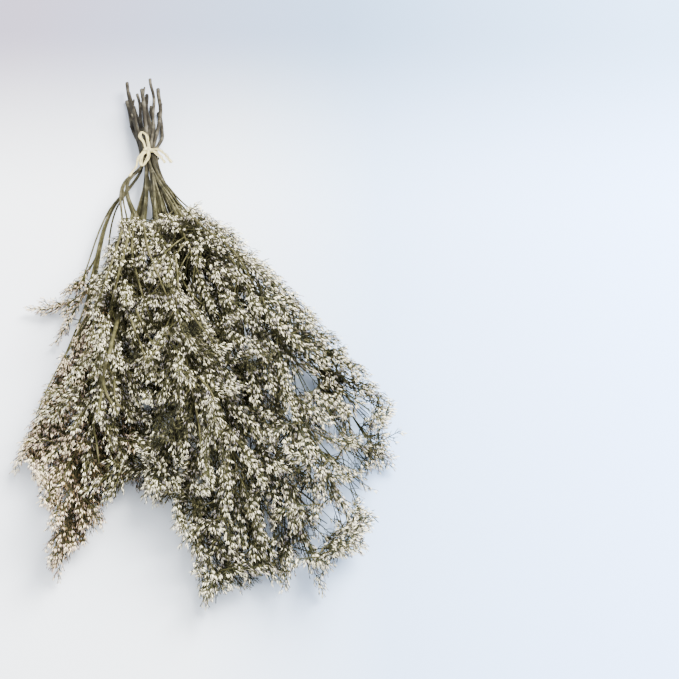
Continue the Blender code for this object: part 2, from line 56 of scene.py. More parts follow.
# The bundle at the tie: rows of stems lie in each other's hollows.
BUNDLE_BEARING = 10.5      # degrees from -Y towards +X
BUNDLE_PITCH = 0.0039      # between the middles of two stems in a row
ROW_PITCH = 0.0035
ROW_LENGTHS = (5, 4, 3)
BUNDLE_UNDERSIDE = 0.0122  # height of the lowest row's middles at the tie
STRAIGHT = 0.007           # half of the straight stretch through the tie

# Stems and stalks
CUT_END_RADIUS = 0.00185
TIE_RADIUS = 0.00170
SLIM_RADIUS = 0.00105
TIP_RADIUS = 0.00065
SLIM_FROM = 0.55           # share of the way from the tie to the tip where it is slim
RINGS_BEHIND = 4           # main stem rings behind the tie, and ahead of it
RINGS_AHEAD = 11
RING_CROWDING = 1.25       # above 1, the rings ahead stand closer together near the tie
STALK_RADIUS = 0.00080
TWIG_RADIUS = 0.00150
TWIG_SIDES = 4
TWIG_TURN = np.pi / 4      # the florets stand on the diagonals

# The course of a main stem. Halfway back it has gone these shares of the way from its place in
# the bundle to its cut end, across and down. Where it has left the bundle it has these shares of
# its reach, of its middle height and of its place across the bundle.
BACK_ACROSS, BACK_DOWN = 0.4, 0.7
LEAVING_REACH, LEAVING_RISE, LEAVING_ACROSS = 0.24, 0.35, 0.5
MIDDLE_REACH = 0.6

# Sprays
SPRAY_WIDTH = 0.0092       # from the twig's middle to the outermost floret tips
FLOWERING = (0.052, 0.070) # the shortest and the longest flowering part
FLORET_SPACING = 0.0067    # along the twig
FLORET_LEAN = 0.0060       # how far a floret's tip points ahead of its foot
UNEVEN = 0.14              # share by which florets differ in length
STALK = (0.006, 0.045)     # the shortest and the longest bare stalk
SUNK = 0.004               # how much of a stalk lies in its main stem or beside it
AT_TIP = (0.82, 0.25)      # shares of those lengths, flowers and stalk, near the main stem's tip
LEAN = (0.75, 1.35)        # least and greatest lean, as shares of the stem's spread
LEAN_BY_PLACE = (1.15, 0.80)     # share of it at the head's start and near the tip
LEAN_BY_SHARE = (1.35, 0.70)     # share of it below a spray's elbow and above
ELBOW_AT = 0.45            # share of the length below the elbow
ROOT_CROWDING = 0.85       # below 1, more sprays root towards the main stem's tip
ROOTLESS_POINTS = 4        # points of the path at its tip that bear no spray
LEADER_LENGTH = 0.058      # the spray that ends a main stem
LEADER_BARE = 0.07
LEADER_WIDTH = 0.0078
SPRAYS_PER_STEM = 12
TRIES = 45
SEED = 25

# A spray's rings: where the stalk's second ring and the last ring stand, how much slimmer its
# ends are, and how full the florets are along it.
STALK_RING = 0.6
LAST_RING = 0.97
SLIMMER = 0.6
FULL_AT_START, FULL_RISE = 0.5, 3.0
FULL_FALL, FULL_BEND = 0.62, 1.7
UNEVEN_PATTERN = (3.7, 2.3, 900.0)  # how the unevenness runs along, round and by root place

# How the growing sprays keep clear of each other
PATH_POINTS = 180
BALL_STEP = 0.0028
TWIG_BALL = 0.0012
FLORET_BALLS = ((0.33, 0.0015), (0.67, 0.0011), (1.0, 0.0006))  # share of its length, radius
CLEAR_OF_OTHERS = 0.0006
ROOT_ZONE = 0.012          # a spray may touch its own stem's growth this near its root
WIDEST_GAP = 0.02
HIGHEST = 0.103
LOWEST = -0.0012

# The raffia tie: a band round the bundle, with its knot on top
BAND_WIDTH = 0.0044
RAFFIA_THICKNESS = 0.0008
RAFFIA_GAP = 0.0004        # between the band and the stems
KNOT_SIZE = (0.0047, 0.0038, 0.0026)
KNOT_HEIGHT = 0.0238

# The strands that leave the knot, each with its width and the points that it runs through, to
# the right of the knot, away from the heads and up.
Strand = namedtuple("Strand", "width points")
STRANDS = (
    # The long loop over the stems, towards the heads.
    Strand(0.0028, ((-0.0005, -0.0010, 0.0003), (-0.0034, -0.0110, 0.0032),
                    (-0.0038, -0.0215, 0.0060), (-0.0012, -0.0300, 0.0078),
                    (0.0026, -0.0220, 0.0066), (0.0026, -0.0110, 0.0038),
                    (0.0010, -0.0010, 0.0006))),
    # The narrow loop back over the cut ends.
    Strand(0.0022, ((-0.0010, 0.0005, 0.0003), (-0.0052, 0.0100, 0.0024),
                    (-0.0094, 0.0190, 0.0034), (-0.0078, 0.0232, 0.0038),
                    (-0.0032, 0.0190, 0.0038), (0.0002, 0.0100, 0.0030),
                    (0.0016, 0.0008, 0.0006))),
    # Two free ends to the right, and a thin one to the left, from under the long loop.
    Strand(0.0030, ((0.0010, 0.0002, 0.0000), (0.0110, -0.0004, 0.0020),
                    (0.0190, -0.0085, 0.0034), (0.0278, -0.0215, 0.0036))),
    Strand(0.0024, ((0.0008, -0.0010, 0.0004), (0.0085, -0.0050, 0.0034),
                    (0.0150, -0.0130, 0.0050), (0.0215, -0.0235, 0.0054))),
    Strand(0.0018, ((-0.0020, -0.0002, 0.0002), (-0.0070, -0.0140, 0.0034),
                    (-0.0078, -0.0290, 0.0054), (-0.0130, -0.0430, 0.0060))),
)

# One flowering stem. bearing and reach place its tip, seen from the tie; middle and tip are
# heights; leave is its bearing where it leaves the bundle; back, aside and end place its cut
# end, and bow is how far it bows aside halfway there; head is the distance where its sprays
# start, and spread is how far they lean out, in degrees.
Stem = namedtuple("Stem", "bearing reach middle tip leave back aside bow end head spread")

STEMS = (
    # The lowest row, from left to right. Its third stem lies on the surface under the heads.
    Stem(-11.8, 0.322, 0.012, 0.009, -20, 0.104, -0.0185, -0.001, 0.0012, 0.150, 25),
    Stem(-3.2, 0.410, 0.010, 0.008, -1, 0.094, -0.0100, 0.000, 0.0012, 0.250, 25),
    Stem(11.0, 0.442, 0.0006, 0.006, 11, 0.098, -0.0010, 0.001, 0.0012, 0.260, 26),
    Stem(21.5, 0.458, 0.010, 0.009, 18, 0.091, 0.0080, 0.002, 0.0012, 0.270, 25),
    Stem(34.0, 0.385, 0.013, 0.010, 27, 0.079, 0.0150, 0.006, 0.0012, 0.200, 27),
    # The middle row.
    Stem(-4.5, 0.205, 0.040, 0.046, -19, 0.122, -0.0150, -0.002, 0.0120, 0.105, 34),
    Stem(-1.5, 0.335, 0.044, 0.036, 2, 0.100, -0.0050, 0.000, 0.0130, 0.170, 30),
    Stem(17.0, 0.425, 0.044, 0.028, 15, 0.096, 0.0045, 0.001, 0.0140, 0.230, 26),
    Stem(26.5, 0.440, 0.042, 0.026, 22, 0.103, 0.0190, 0.005, 0.0140, 0.220, 26),
    # The top row.
    Stem(13.5, 0.355, 0.066, 0.056, 12, 0.089, -0.0120, -0.002, 0.0260, 0.150, 30),
    Stem(20.0, 0.215, 0.066, 0.076, 17, 0.094, 0.0010, 0.001, 0.0240, 0.110, 32),
    Stem(29.5, 0.330, 0.062, 0.048, 24, 0.107, 0.0125, 0.004, 0.0260, 0.150, 30),
)

# The outline of the heads is that of the ground that they hide from an eye, which stands here,
# seen from the point below the tie. That ground starts at this distance from there, and ends
# at these on each bearing.
EYE = (0.201, -0.789, 0.806)
NEAREST = 0.066
OUTLINE = ((-20.0, 0.085), (-16.0, 0.130), (-14.2, 0.190), (-13.8, 0.362), (-9.9, 0.372),
           (-6.3, 0.413), (-5.7, 0.445), (-3.6, 0.462), (-1.7, 0.444), (0.1, 0.415),
           (3.0, 0.375), (5.8, 0.402), (7.8, 0.395), (8.6, 0.437), (9.8, 0.450),
           (10.8, 0.495), (15.3, 0.489), (16.7, 0.480), (18.6, 0.501), (20.7, 0.489),
           (22.4, 0.508), (23.9, 0.488), (26.8, 0.497), (30.3, 0.459), (32.7, 0.432),
           (36.0, 0.432), (38.0, 0.420), (41.0, 0.379), (43.2, 0.245), (45.2, 0.186),
           (47.4, 0.136))
INSIDE = 0.96              # least share of a spray's florets whose tips are inside it

# Three slim sprays that stand out to the left of the first stem, outside that outline: how far
# along the stem's path each leaves, its elbow and its tip, seen from the tie.
LONE_SPRAYS = (
    (0.60, (-0.0459, -0.1937, 0.014), (-0.0624, -0.2353, 0.009)),
    (0.64, (-0.0544, -0.2067, 0.014), (-0.0944, -0.1947, 0.009)),
    (0.55, (-0.0420, -0.1594, 0.015), (-0.0640, -0.1810, 0.010)),
)
LONE_BARE = 0.30
LONE_WIDTH = 0.0070

# One spray: a curve that leaves its stem at root, bends at elbow and ends at tip. bare is the
# share of it that is stalk, and width how far its florets reach from it.
Spray = namedtuple("Spray", "root elbow tip bare width")


def heading(bearing):
    """The level direction on a bearing: 0 is -Y, and 90 is +X."""
    angle = np.radians(bearing)
    return np.array([np.sin(angle), -np.cos(angle), 0.0])


def across(bearing):
    """The level direction to the right of a bearing."""
    return heading(bearing + 90.0)


def between(start, end, share):
    """The value at this share of the way from start to end."""
    return start + share * (end - start)


def smooth_path(points, count):
    """An evenly spaced curve through the points: a cubic between each two, with shared slopes."""
    points = np.asarray(points, float)
    at = np.concatenate([[0.0], np.cumsum(np.linalg.norm(np.diff(points, axis=0), axis=1))])
    slope = np.gradient(points, at, axis=0)
    fine = np.linspace(0.0, at[-1], 40 * len(points))
    i = np.clip(np.searchsorted(at, fine, side="right") - 1, 0, len(points) - 2)
    step = (at[i + 1] - at[i])[:, None]
    u = (fine - at[i])[:, None] / step
    curve = ((2 * u**3 - 3 * u**2 + 1) * points[i] + (u**3 - 2 * u**2 + u) * step * slope[i]
             + (3 * u**2 - 2 * u**3) * points[i + 1] + (u**3 - u**2) * step * slope[i + 1])
    run = np.concatenate([[0.0], np.cumsum(np.linalg.norm(np.diff(curve, axis=0), axis=1))])
    even = np.linspace(0.0, run[-1], count)
    return np.stack([np.interp(even, run, curve[:, k]) for k in range(3)], axis=1)


def bundle_places():
    """Each stem's place across and up at the tie, row by row."""
    return [((column - (length - 1) / 2) * BUNDLE_PITCH, BUNDLE_UNDERSIDE + row * ROW_PITCH)
            for row, length in enumerate(ROW_LENGTHS) for column in range(length)]


def stem_points(stem, place):
    """The points that a main stem runs through, from its cut end through the tie to its tip."""
    along, aside = heading(BUNDLE_BEARING), across(BUNDLE_BEARING)
    offset, height = place
    up = np.array([0.0, 0.0, 1.0])
    at_tie = aside * offset + up * height
    cut_end = -along * stem.back + aside * stem.aside + up * stem.end
    sideways = between(offset, stem.aside, BACK_ACROSS) + stem.bow
    half_back = (-along * stem.back / 2 + aside * sideways
                 + up * between(height, stem.end, BACK_DOWN))
    leaving = (heading(stem.leave) * LEAVING_REACH * stem.reach
               + aside * LEAVING_ACROSS * offset
               + up * between(height, stem.middle, LEAVING_RISE))
    own = heading(stem.bearing) * stem.reach
    return [cut_end, half_back, at_tie - along * STRAIGHT, at_tie + along * STRAIGHT, leaving,
            own * MIDDLE_REACH + up * stem.middle, own + up * stem.tip]


def run_from_tie(path):
    """The distance along a main stem from the tie, negative towards its cut end."""
    steps = np.linalg.norm(np.diff(path, axis=0), axis=1)
    run = np.concatenate([[0.0], np.cumsum(steps)])
    return run - run[np.argmin(np.abs(path @ heading(BUNDLE_BEARING)))]


def stem_radius(path):
    """The main stem's radius along its path: nearly even up to the tie, then tapering."""
    run = run_from_tie(path)
    return np.interp(run, [run[0], 0.0, SLIM_FROM * run[-1], run[-1]],
                     [CUT_END_RADIUS, TIE_RADIUS, SLIM_RADIUS, TIP_RADIUS])


def stem_rings(path):
    """The places of a main stem's rings: a few behind the tie, one close on each side of it,
    and the rest ahead of it, closer together where the stem bends most."""
    run = run_from_tie(path)
    behind = np.linspace(run[0], -STRAIGHT, RINGS_BEHIND)
    ahead = between(STRAIGHT, run[-1], np.linspace(0, 1, RINGS_AHEAD)**RING_CROWDING)
    wanted = np.concatenate([behind, ahead])
    return np.stack([np.interp(wanted, run, path[:, k]) for k in range(3)], axis=1)


def stem_path(stem, place):
    """A main stem's path: straight from ring to ring, with its points evenly spaced."""
    rings = stem_rings(smooth_path(stem_points(stem, place), PATH_POINTS))
    run = np.concatenate([[0.0], np.cumsum(np.linalg.norm(np.diff(rings, axis=0), axis=1))])
    even = np.linspace(0.0, run[-1], PATH_POINTS)
    return np.stack([np.interp(even, run, rings[:, k]) for k in range(3)], axis=1)


def frames(path):
    """Along, side and lift directions at each point of a path."""
    along = np.gradient(path, axis=0)
    along = along / np.linalg.norm(along, axis=1)[:, None]
    side = np.cross(along, [0.0, 0.0, 1.0])
    side = side / np.linalg.norm(side, axis=1)[:, None]
    return along, side, np.cross(side, along)


def ring_points(path, radii, lean, turn=0.0):
    """Rings of points round a path. radii and lean hold one value for each ring and side."""
    along, side, lift = frames(path)
    angle = turn + np.arange(radii.shape[1]) * 2 * np.pi / radii.shape[1]
    out = (np.cos(angle)[None, :, None] * side[:, None]
           + np.sin(angle)[None, :, None] * lift[:, None])
    return path[:, None] + out * radii[..., None] + along[:, None] * lean[..., None]


def parabola(root, elbow, tip, t):
    """Points of parabolas from root past elbow to tip: the sum of the root times the square of
    1 - t, the elbow times twice t times 1 - t, and the tip times the square of t."""
    return (1 - t)**2 * root + 2 * t * (1 - t) * elbow + t**2 * tip


def spray_path(spray, share):
    """The points at these shares of a spray's curve, which is a parabola."""
    return parabola(spray.root, spray.elbow, spray.tip, np.asarray(share)[:, None])


def spray_length(spray):
    """The distance from a spray's root to its elbow and on to its tip."""
    return np.linalg.norm(spray.elbow - spray.root) + np.linalg.norm(spray.tip - spray.elbow)


def spray_rings(spray):
    """A spray's path, with its rings' radii and forward leans. On the flowering part every other
    corner of a ring stands out as a floret, and the next ring's florets take the corners between.
    The florets reach out quickly above the stalk, then less and less towards the tip."""
    bare = spray.bare
    rows = int(spray_length(spray) * (1 - bare) / FLORET_SPACING)
    share = np.concatenate([[0.0, STALK_RING * bare], np.linspace(bare, LAST_RING, rows)])
    j, c = np.meshgrid(np.arange(len(share)), np.arange(TWIG_SIDES), indexing="ij")
    floret = ((j + c) % 2 == 0) & (j >= 2)
    core = np.interp(share, [0.0, bare, between(bare, 1.0, 0.5), 1.0],
                     [SLIMMER * STALK_RADIUS, STALK_RADIUS, TWIG_RADIUS, SLIMMER * TWIG_RADIUS])
    u = np.clip((share - bare) / (1 - bare), 0.0, 1.0)
    full = np.clip(FULL_AT_START + FULL_RISE * u, 0.0, 1.0) * (1 - FULL_FALL * u**FULL_BEND)
    by_row, by_side, by_root = UNEVEN_PATTERN
    uneven = 1 + UNEVEN * np.sin(by_row * j + by_side * c + by_root * spray.root[0])
    radii = np.where(floret, spray.width * full[:, None] * uneven, core[:, None])
    lean = np.where(floret, FLORET_LEAN * full[:, None], 0.0)
    return spray_path(spray, share), radii, lean, floret


def floret_lines(spray):
    """The feet and the tips of a spray's florets."""
    path, radii, lean, floret = spray_rings(spray)
    feet = np.repeat(path[:, None], TWIG_SIDES, axis=1)[floret]
    return feet, ring_points(path, radii, lean, turn=TWIG_TURN)[floret]


def spray_balls(spray):
    """Balls that fill a spray: along its twig, and along each floret out to its tip."""
    count = int(spray_length(spray) / BALL_STEP)
    twig = spray_path(spray, np.linspace(0.0, 1.0, count))
    feet, tips = floret_lines(spray)
    points, sizes = [twig], [np.full(count, TWIG_BALL)]
    for share, size in FLORET_BALLS:
        points.append(feet + share * (tips - feet))
        sizes.append(np.full(len(feet), size))
    return np.concatenate(points), np.concatenate(sizes)


def leaning_spray(root, ahead, turn, lean, length, bare, width):
    """A spray that leaves its root at an angle from the direction ahead, turned so far round it,
    and bends forward at its elbow."""
    side = np.cross(ahead, [0.0, 0.0, 1.0])
    side = side / np.linalg.norm(side)
    out = np.cos(turn) * side + np.sin(turn) * np.cross(side, ahead)
    start, finish = [np.cos(share * lean) * ahead + np.sin(share * lean) * out
                     for share in LEAN_BY_SHARE]
    elbow = root + start * ELBOW_AT * length
    return Spray(root, elbow, elbow + finish * (1 - ELBOW_AT) * length, bare, width)


def spray_candidate(rng, stem, path):
    """A spray at a random place on a stem. Those near the stem's tip are shorter and lean less."""
    reach = np.linalg.norm(path[:, :2], axis=1)
    on_head = np.flatnonzero((reach >= stem.head) & (path[:, 1] < 0))
    place = rng.random()**ROOT_CROWDING
    index = on_head[int(place * (len(on_head) - ROOTLESS_POINTS))]
    ahead = path[index + 1] - path[index]
    ahead = ahead / np.linalg.norm(ahead)
    turn = rng.uniform(0.0, 2 * np.pi)
    lean = np.radians(stem.spread * rng.uniform(*LEAN) * between(*LEAN_BY_PLACE, place))
    flowers = rng.uniform(*FLOWERING) * between(1.0, AT_TIP[0], place)
    stalk = rng.uniform(*STALK) * between(1.0, AT_TIP[1], place) + SUNK
    length = flowers + stalk
    return leaning_spray(path[index], ahead, turn, lean, length, stalk / length, SPRAY_WIDTH)


def hidden_by(points):
    """The places on the surface that points hide from the eye: from below the eye, the way to
    the point divided by 1 minus the share of the eye's height that the point has."""
    away = 1 / (1 - points[:, 2:] / EYE[2])
    return EYE[:2] + (points[:, :2] - EYE[:2]) * away


def within_outline(spray):
    """Whether nearly all of a spray's florets hide ground inside the bunch's outline."""
    x, y = hidden_by(floret_lines(spray)[1]).T
    bearings, reaches = zip(*OUTLINE)
    furthest = np.interp(np.degrees(np.arctan2(x, -y)), bearings, reaches, left=0.0, right=0.0)
    reach = np.hypot(x, y)
    return np.mean((NEAREST < reach) & (reach < furthest)) >= INSIDE


def leader(path):
    """The spray that ends a main stem, straight on from its tip."""
    ahead = path[-1] - path[-2]
    ahead = ahead / np.linalg.norm(ahead)
    root = path[-1] - ahead * SUNK
    return Spray(root, root + ahead * LEADER_LENGTH / 2, root + ahead * LEADER_LENGTH,
                 LEADER_BARE, LEADER_WIDTH)


def lone_spray(path, share, elbow, tip):
    """One of the slim sprays that stand out to the left."""
    root = path[int(share * len(path))]
    return Spray(root, np.array(elbow), np.array(tip), LONE_BARE, LONE_WIDTH)


class Crowd:
    """All that has grown so far, as balls, each with the number of its stem."""

    def __init__(self):
        self.points, self.sizes = np.empty((0, 3)), np.empty(0)
        self.owners = np.empty(0, int)

    def add(self, points, sizes, owner):
        """Adds balls of one stem."""
        self.points = np.concatenate([self.points, points])
        self.sizes = np.concatenate([self.sizes, sizes])
        self.owners = np.concatenate([self.owners, np.full(len(points), owner)])

    def room(self, points, sizes, chosen):
        """The least gap between these balls and the chosen ones near them."""
        middle = points.mean(axis=0)
        reach = np.linalg.norm(points - middle, axis=1).max() + WIDEST_GAP
        near = chosen & (((self.points - middle)**2).sum(axis=1) < reach**2)
        if not near.any():
            return WIDEST_GAP
        apart = np.linalg.norm(points[:, None] - self.points[None, near], axis=2)
        return min((apart - sizes[:, None] - self.sizes[None, near]).min(), WIDEST_GAP)


def crowd_of(paths, sprays):
    """The main stems and their sprays as one crowd."""
    crowd = Crowd()
    for i, path in enumerate(paths):
        crowd.add(path, stem_radius(path), i)
        for spray in sprays[i]:
            crowd.add(*spray_balls(spray), i)
    return crowd


def grow():
    """The main stems' paths and each stem's sprays. The stems take turns, and each turn keeps
    the roomiest of several random sprays that are clear of all the other stems."""
    rng = np.random.default_rng(SEED)
    paths = [stem_path(stem, place) for stem, place in zip(STEMS, bundle_places())]
    sprays = [[leader(path)] for path in paths]
    sprays[0] += [lone_spray(paths[0], *points) for points in LONE_SPRAYS]
    crowd = crowd_of(paths, sprays)
    for _ in range(SPRAYS_PER_STEM):
        for i, stem in enumerate(STEMS):
            best, best_room = None, 0.0
            for _ in range(TRIES):
                spray = spray_candidate(rng, stem, paths[i])
                if not within_outline(spray):
                    continue
                points, sizes = spray_balls(spray)
                if points[:, 2].max() > HIGHEST or points[:, 2].min() < LOWEST:
                    continue
                room = crowd.room(points, sizes, crowd.owners != i) - CLEAR_OF_OTHERS
                if room <= best_room:
                    continue
                away = np.linalg.norm(points - spray.root, axis=1) > ROOT_ZONE
                room = min(room, crowd.room(points[away], sizes[away], crowd.owners == i))
                if room > best_room:
                    best, best_room = spray, room
            if best is not None:
                sprays[i].append(best)
                crowd.add(*spray_balls(best), i)
    return paths, sprays


# Extra sprays that fill the heads between those of the solids: some leave the main stem like
# them, and short ones branch off them
EXTRA_SPRAYS = 12          # for each stem
EXTRA_TRIES = 20
EXTRA_OVERLAP = 0.0065     # how far an extra spray may reach into its neighbours
EXTRA_SEED = 5
BRANCHES = 40              # for each stem
BRANCH_TRIES = 24
BRANCH_OVERLAP = 0.0090
BRANCH_PLACE = (0.20, 0.80)    # where it leaves its spray, as a share of that
BRANCH_STEP = 0.02         # share of the spray that shows its direction there
BRANCH_LENGTH = (0.026, 0.046)
BRANCH_LEAN = (28.0, 68.0)
BRANCH_BARE = 0.16
LONE_BRANCHES = 4          # short branches on each of the lone sprays
LONE_SHARE = 0.5           # their length, as a share of that of other branches

# How full the heads get: florets are counted in the cells of the surface that they hide
LEAST_BARE = 0.10          # a spray grows only where this share of its florets is wanted
COVER_CELL = 0.005
COVER_CELLS = 160          # in each direction
TIE_CELL = (COVER_CELLS / 3, COVER_CELLS - 20)
COVER_FULL, COVER_THIN = 4.7, 3.6   # florets a cell, in the middle and at the thin right side
THIN_BEARING = (22.0, 33.0)
THIN_REACH = (0.30, 0.40)

# Side twigs along a spray
SIDE_SPACING = 0.0018
SIDE_SHIFT = (0.2, 0.8)    # where a side twig leaves, in its own stretch of the spray
SIDE_CROWDING = 0.88       # below 1, more leave near the tip
SIDE_END = 0.985           # share of the spray where the last one leaves
SIDE_STEP = 0.01           # share of the spray that shows its direction there
SIDE_LENGTH = (0.0062, 0.0135)
SIDE_FULL, SIDE_RISE = 0.62, 2.2       # share of that length at the start, and its rise
SIDE_FALL, SIDE_BEND = 0.52, 1.7       # its fall towards the tip
SIDE_START, SIDE_FINISH = 64.0, 30.0   # degrees from the spray's own direction
SIDE_SWING = (0.75, 1.2)   # share of those
SIDE_ELBOW = 0.45          # share of its length below its elbow
TURN_PER_SIDE = 137.5      # degrees round the spray from one to the next
TURN_UNEVEN = 25.0

# Florets along a side twig. A floret faces partly along its twig, partly along its spray, partly
# away from the tie and partly aside, in these shares.
FLORET_EVERY = 0.0023
FIRST_FLORET = 0.25        # share of the side twig
FLORET_SHIFT = 0.7         # how far one may stand ahead of its place, as a share of a place
FACING_TWIG, FACING_SPRAY, FACING_OUT, FACING_ASIDE = 0.38, 0.50, 0.45, 0.26
FACING_UNEVEN = 0.11
FLATTER, NOD = 0.35, 0.06  # how much of its rise is left, and how far it nods
FLORET_LENGTH = (0.0046, 0.0068)
SHORTER_AT_TIP = 0.25
FLORET_RADIUS = 0.00043
FLORET_WIDTHS = (0.8, 1.25)    # share of that radius
FLORET_RAGGED = 0.12       # how unevenly high its lobes are
LOBES = 3
OPEN_FLORETS = 0.30        # the others are still closed, and pointed
RIM, THROAT = 1.0, 0.6     # how high these lie in an open floret, as shares of its length
WAIST = 0.62               # how high a closed floret is widest
FOOT_ON_MAP = 0.03         # the heights on the map of the foot, and of the lobes and the middle
OPEN_ON_MAP, CLOSED_ON_MAP = (0.76, 0.97), (0.60, 0.78)
LOBE_TINT = 0.005          # how far the tints of two lobes differ
DROPPED = 0.15             # share of the deepest florets that have fallen off

# How openly a floret stands, which sets the painted shade of florets and twigs deep in the heads:
# rays from it meet the florets counted in cells of space
CELL = 0.006
RAY_CELLS = 4              # cells that each ray passes
THICK = 5.2                # florets met that leave a ray about a third of its light
RAYS = ((0.0, 0.0, 1.0), (0.5, 0.0, 0.85), (-0.5, 0.0, 0.85), (0.0, 0.5, 0.85), (0.0, -0.5, 0.85),
        (0.0, -0.85, 0.5), (0.75, -0.4, 0.5), (-0.75, -0.4, 0.5))
OPEN, CLOSED = 0.38, 0.03  # openness of the brightest and of the darkest florets
DEEP_SHADE_UNEVEN = (0.35, 0.95)   # the least and greatest darkness of a deep floret, partly its duller colour and partly painted shade
HOLLOW_SHADE_UNEVEN = (0.6, 1.0)   # and of one in a hollow, as painted shade

# How dull a floret is: by chance, in clouds, less at a twig's tip and at the left, and more at
# the outer edge, where it stands most open. Then the tint for each dullness.
SLOW_WAVES, SLOW_STARTS = (61.0, 47.0), (1.3, 0.4)
FAST_WAVE, FAST_SHARE = (133.0, 97.0), 0.6
CLOUD_DULLNESS, TIP_WHITE = 0.10, 0.08
LEFT_WHITE, LEFT = 0.22, 0.045   # how much whiter florets are at the left, and how far left
EDGE, EDGE_DULLNESS = 0.62, 0.32  # openness where the outer edge starts, and how much duller florets are there
DULLNESS = (-0.2, 0.43, 0.58, 0.78, 1.1)
DULLNESS_TINTS = (0.02, 0.27, 0.45, 0.63, 0.84)

# A main stem, and the side stems that leave it a little ahead of the tie and end in its head
MAIN_POINTS = 150
MAIN_SIDES, MAIN_RIDGES = 9, 0.05
SIDE_STEMS = 7             # for each main stem
SIDE_STEM_START = (0.002, 0.036)
SIDE_STEM_INSIDE = (0.015, 0.060)      # how far past the start of the head it ends
SIDE_STEM_ASIDE = (-0.010, 0.026)
SIDE_STEM_RISE = (-0.008, 0.010)
SIDE_STEM_BEND = 1.4
SIDE_STEM_RADIUS = (0.00115, 0.00070)
SIDE_STEM_RINGS = 24
SIDE_STEM_SIDES = 6

# The bare stalks of sprays
STALK_RINGS = 6
STALK_SIDES = 4
STALK_RADII = (0.00080, 0.00055)
STALK_HIDDEN = 0.1         # share of the spray that its stalk runs on among the florets

# How a main stem's cut end differs from its solid: how far it wanders aside, how long its waves
# are, how much thicker or thinner it is, and how far behind the tie that is so in full
WANDER = (0.0004, 0.0013)
WAVE_LENGTH = (0.045, 0.075)
THICKNESS = (0.78, 1.25)
WEATHERED_FROM = 0.05

# Short side shoots on the cut ends, where leaves once grew
SHOOT_SHARE = 0.45         # of the stems have one
SHOOT_FROM = (0.045, 0.085)    # behind the tie
SHOOT_LENGTH = (0.007, 0.013)
SHOOT_LEAN = (14.0, 30.0)
SHOOT_RISE = 0.25
SHOOT_RADIUS = (0.0015, 0.0011)

# Branches that run over the heads: the number of the stem, the radius at the foot, and the
# bearings and reaches on the surface of the places that the branch hides from the eye
Branch = namedtuple("Branch", "stem radius points")
BRANCHES_ABOVE = (
    Branch(2, 0.0017, ((-10.6, 0.065), (-7.3, 0.105), (-6.5, 0.148), (-5.8, 0.192))),
    Branch(6, 0.0013, ((-7.2, 0.068), (-3.6, 0.114), (2.0, 0.160), (6.3, 0.208))),
    Branch(1, 0.0012, ((-12.6, 0.092), (-10.9, 0.133), (-10.3, 0.184), (-11.5, 0.224))),
    Branch(7, 0.0011, ((-0.5, 0.070), (4.0, 0.110), (8.5, 0.148), (11.2, 0.180))),
    Branch(11, 0.0011, ((31.0, 0.055), (36.0, 0.104), (39.0, 0.150), (36.4, 0.198))),
    Branch(8, 0.0011, ((15.0, 0.056), (21.5, 0.088), (25.0, 0.116))),
    Branch(2, 0.0020, ((-2.8, 0.195), (-3.2, 0.218), (-3.3, 0.242), (-3.4, 0.270), (-2.3, 0.284),
                       (0.4, 0.306))),
    Branch(2, 0.0013, ((-3.3, 0.268), (-3.0, 0.294), (-3.3, 0.319), (-2.4, 0.333), (-1.3, 0.357))),
    Branch(7, 0.0011, ((0.1, 0.198), (2.0, 0.215), (3.7, 0.233), (4.9, 0.252))),
    Branch(7, 0.0008, ((4.7, 0.252), (6.8, 0.241), (9.6, 0.232))),
    Branch(7, 0.0010, ((1.7, 0.190), (3.4, 0.206), (4.7, 0.219), (7.5, 0.236))),
    Branch(11, 0.0010, ((16.9, 0.128), (16.0, 0.147), (14.9, 0.172))),
    Branch(11, 0.0008, ((16.1, 0.146), (18.2, 0.178), (20.8, 0.199))),
    Branch(10, 0.0009, ((16.6, 0.199), (17.6, 0.214), (19.0, 0.230), (20.0, 0.255))),
    Branch(2, 0.0010, ((-2.0, 0.250), (-1.0, 0.274), (-0.3, 0.292), (1.4, 0.303))),
    Branch(3, 0.0009, ((13.5, 0.303), (13.4, 0.327), (13.0, 0.354))),
    Branch(8, 0.0009, ((15.0, 0.276), (16.6, 0.298), (16.5, 0.320))),
    Branch(1, 0.0010, ((-11.7, 0.202), (-12.4, 0.239), (-13.1, 0.274), (-13.0, 0.316))),
    Branch(1, 0.0008, ((-9.1, 0.208), (-8.1, 0.235), (-9.8, 0.257))),
)
BRANCH_TAPER = 0.55
SKIN_CELL = 0.007
SKIN_SMOOTHING = 12        # rounds of averaging along a branch
SKIN_CLEAR = 0.0012        # how far above the florets a branch runs, and below them at its ends
SKIN_SUNK = 0.006
SKIN_RISE = 3.0            # how quickly it comes up out of them
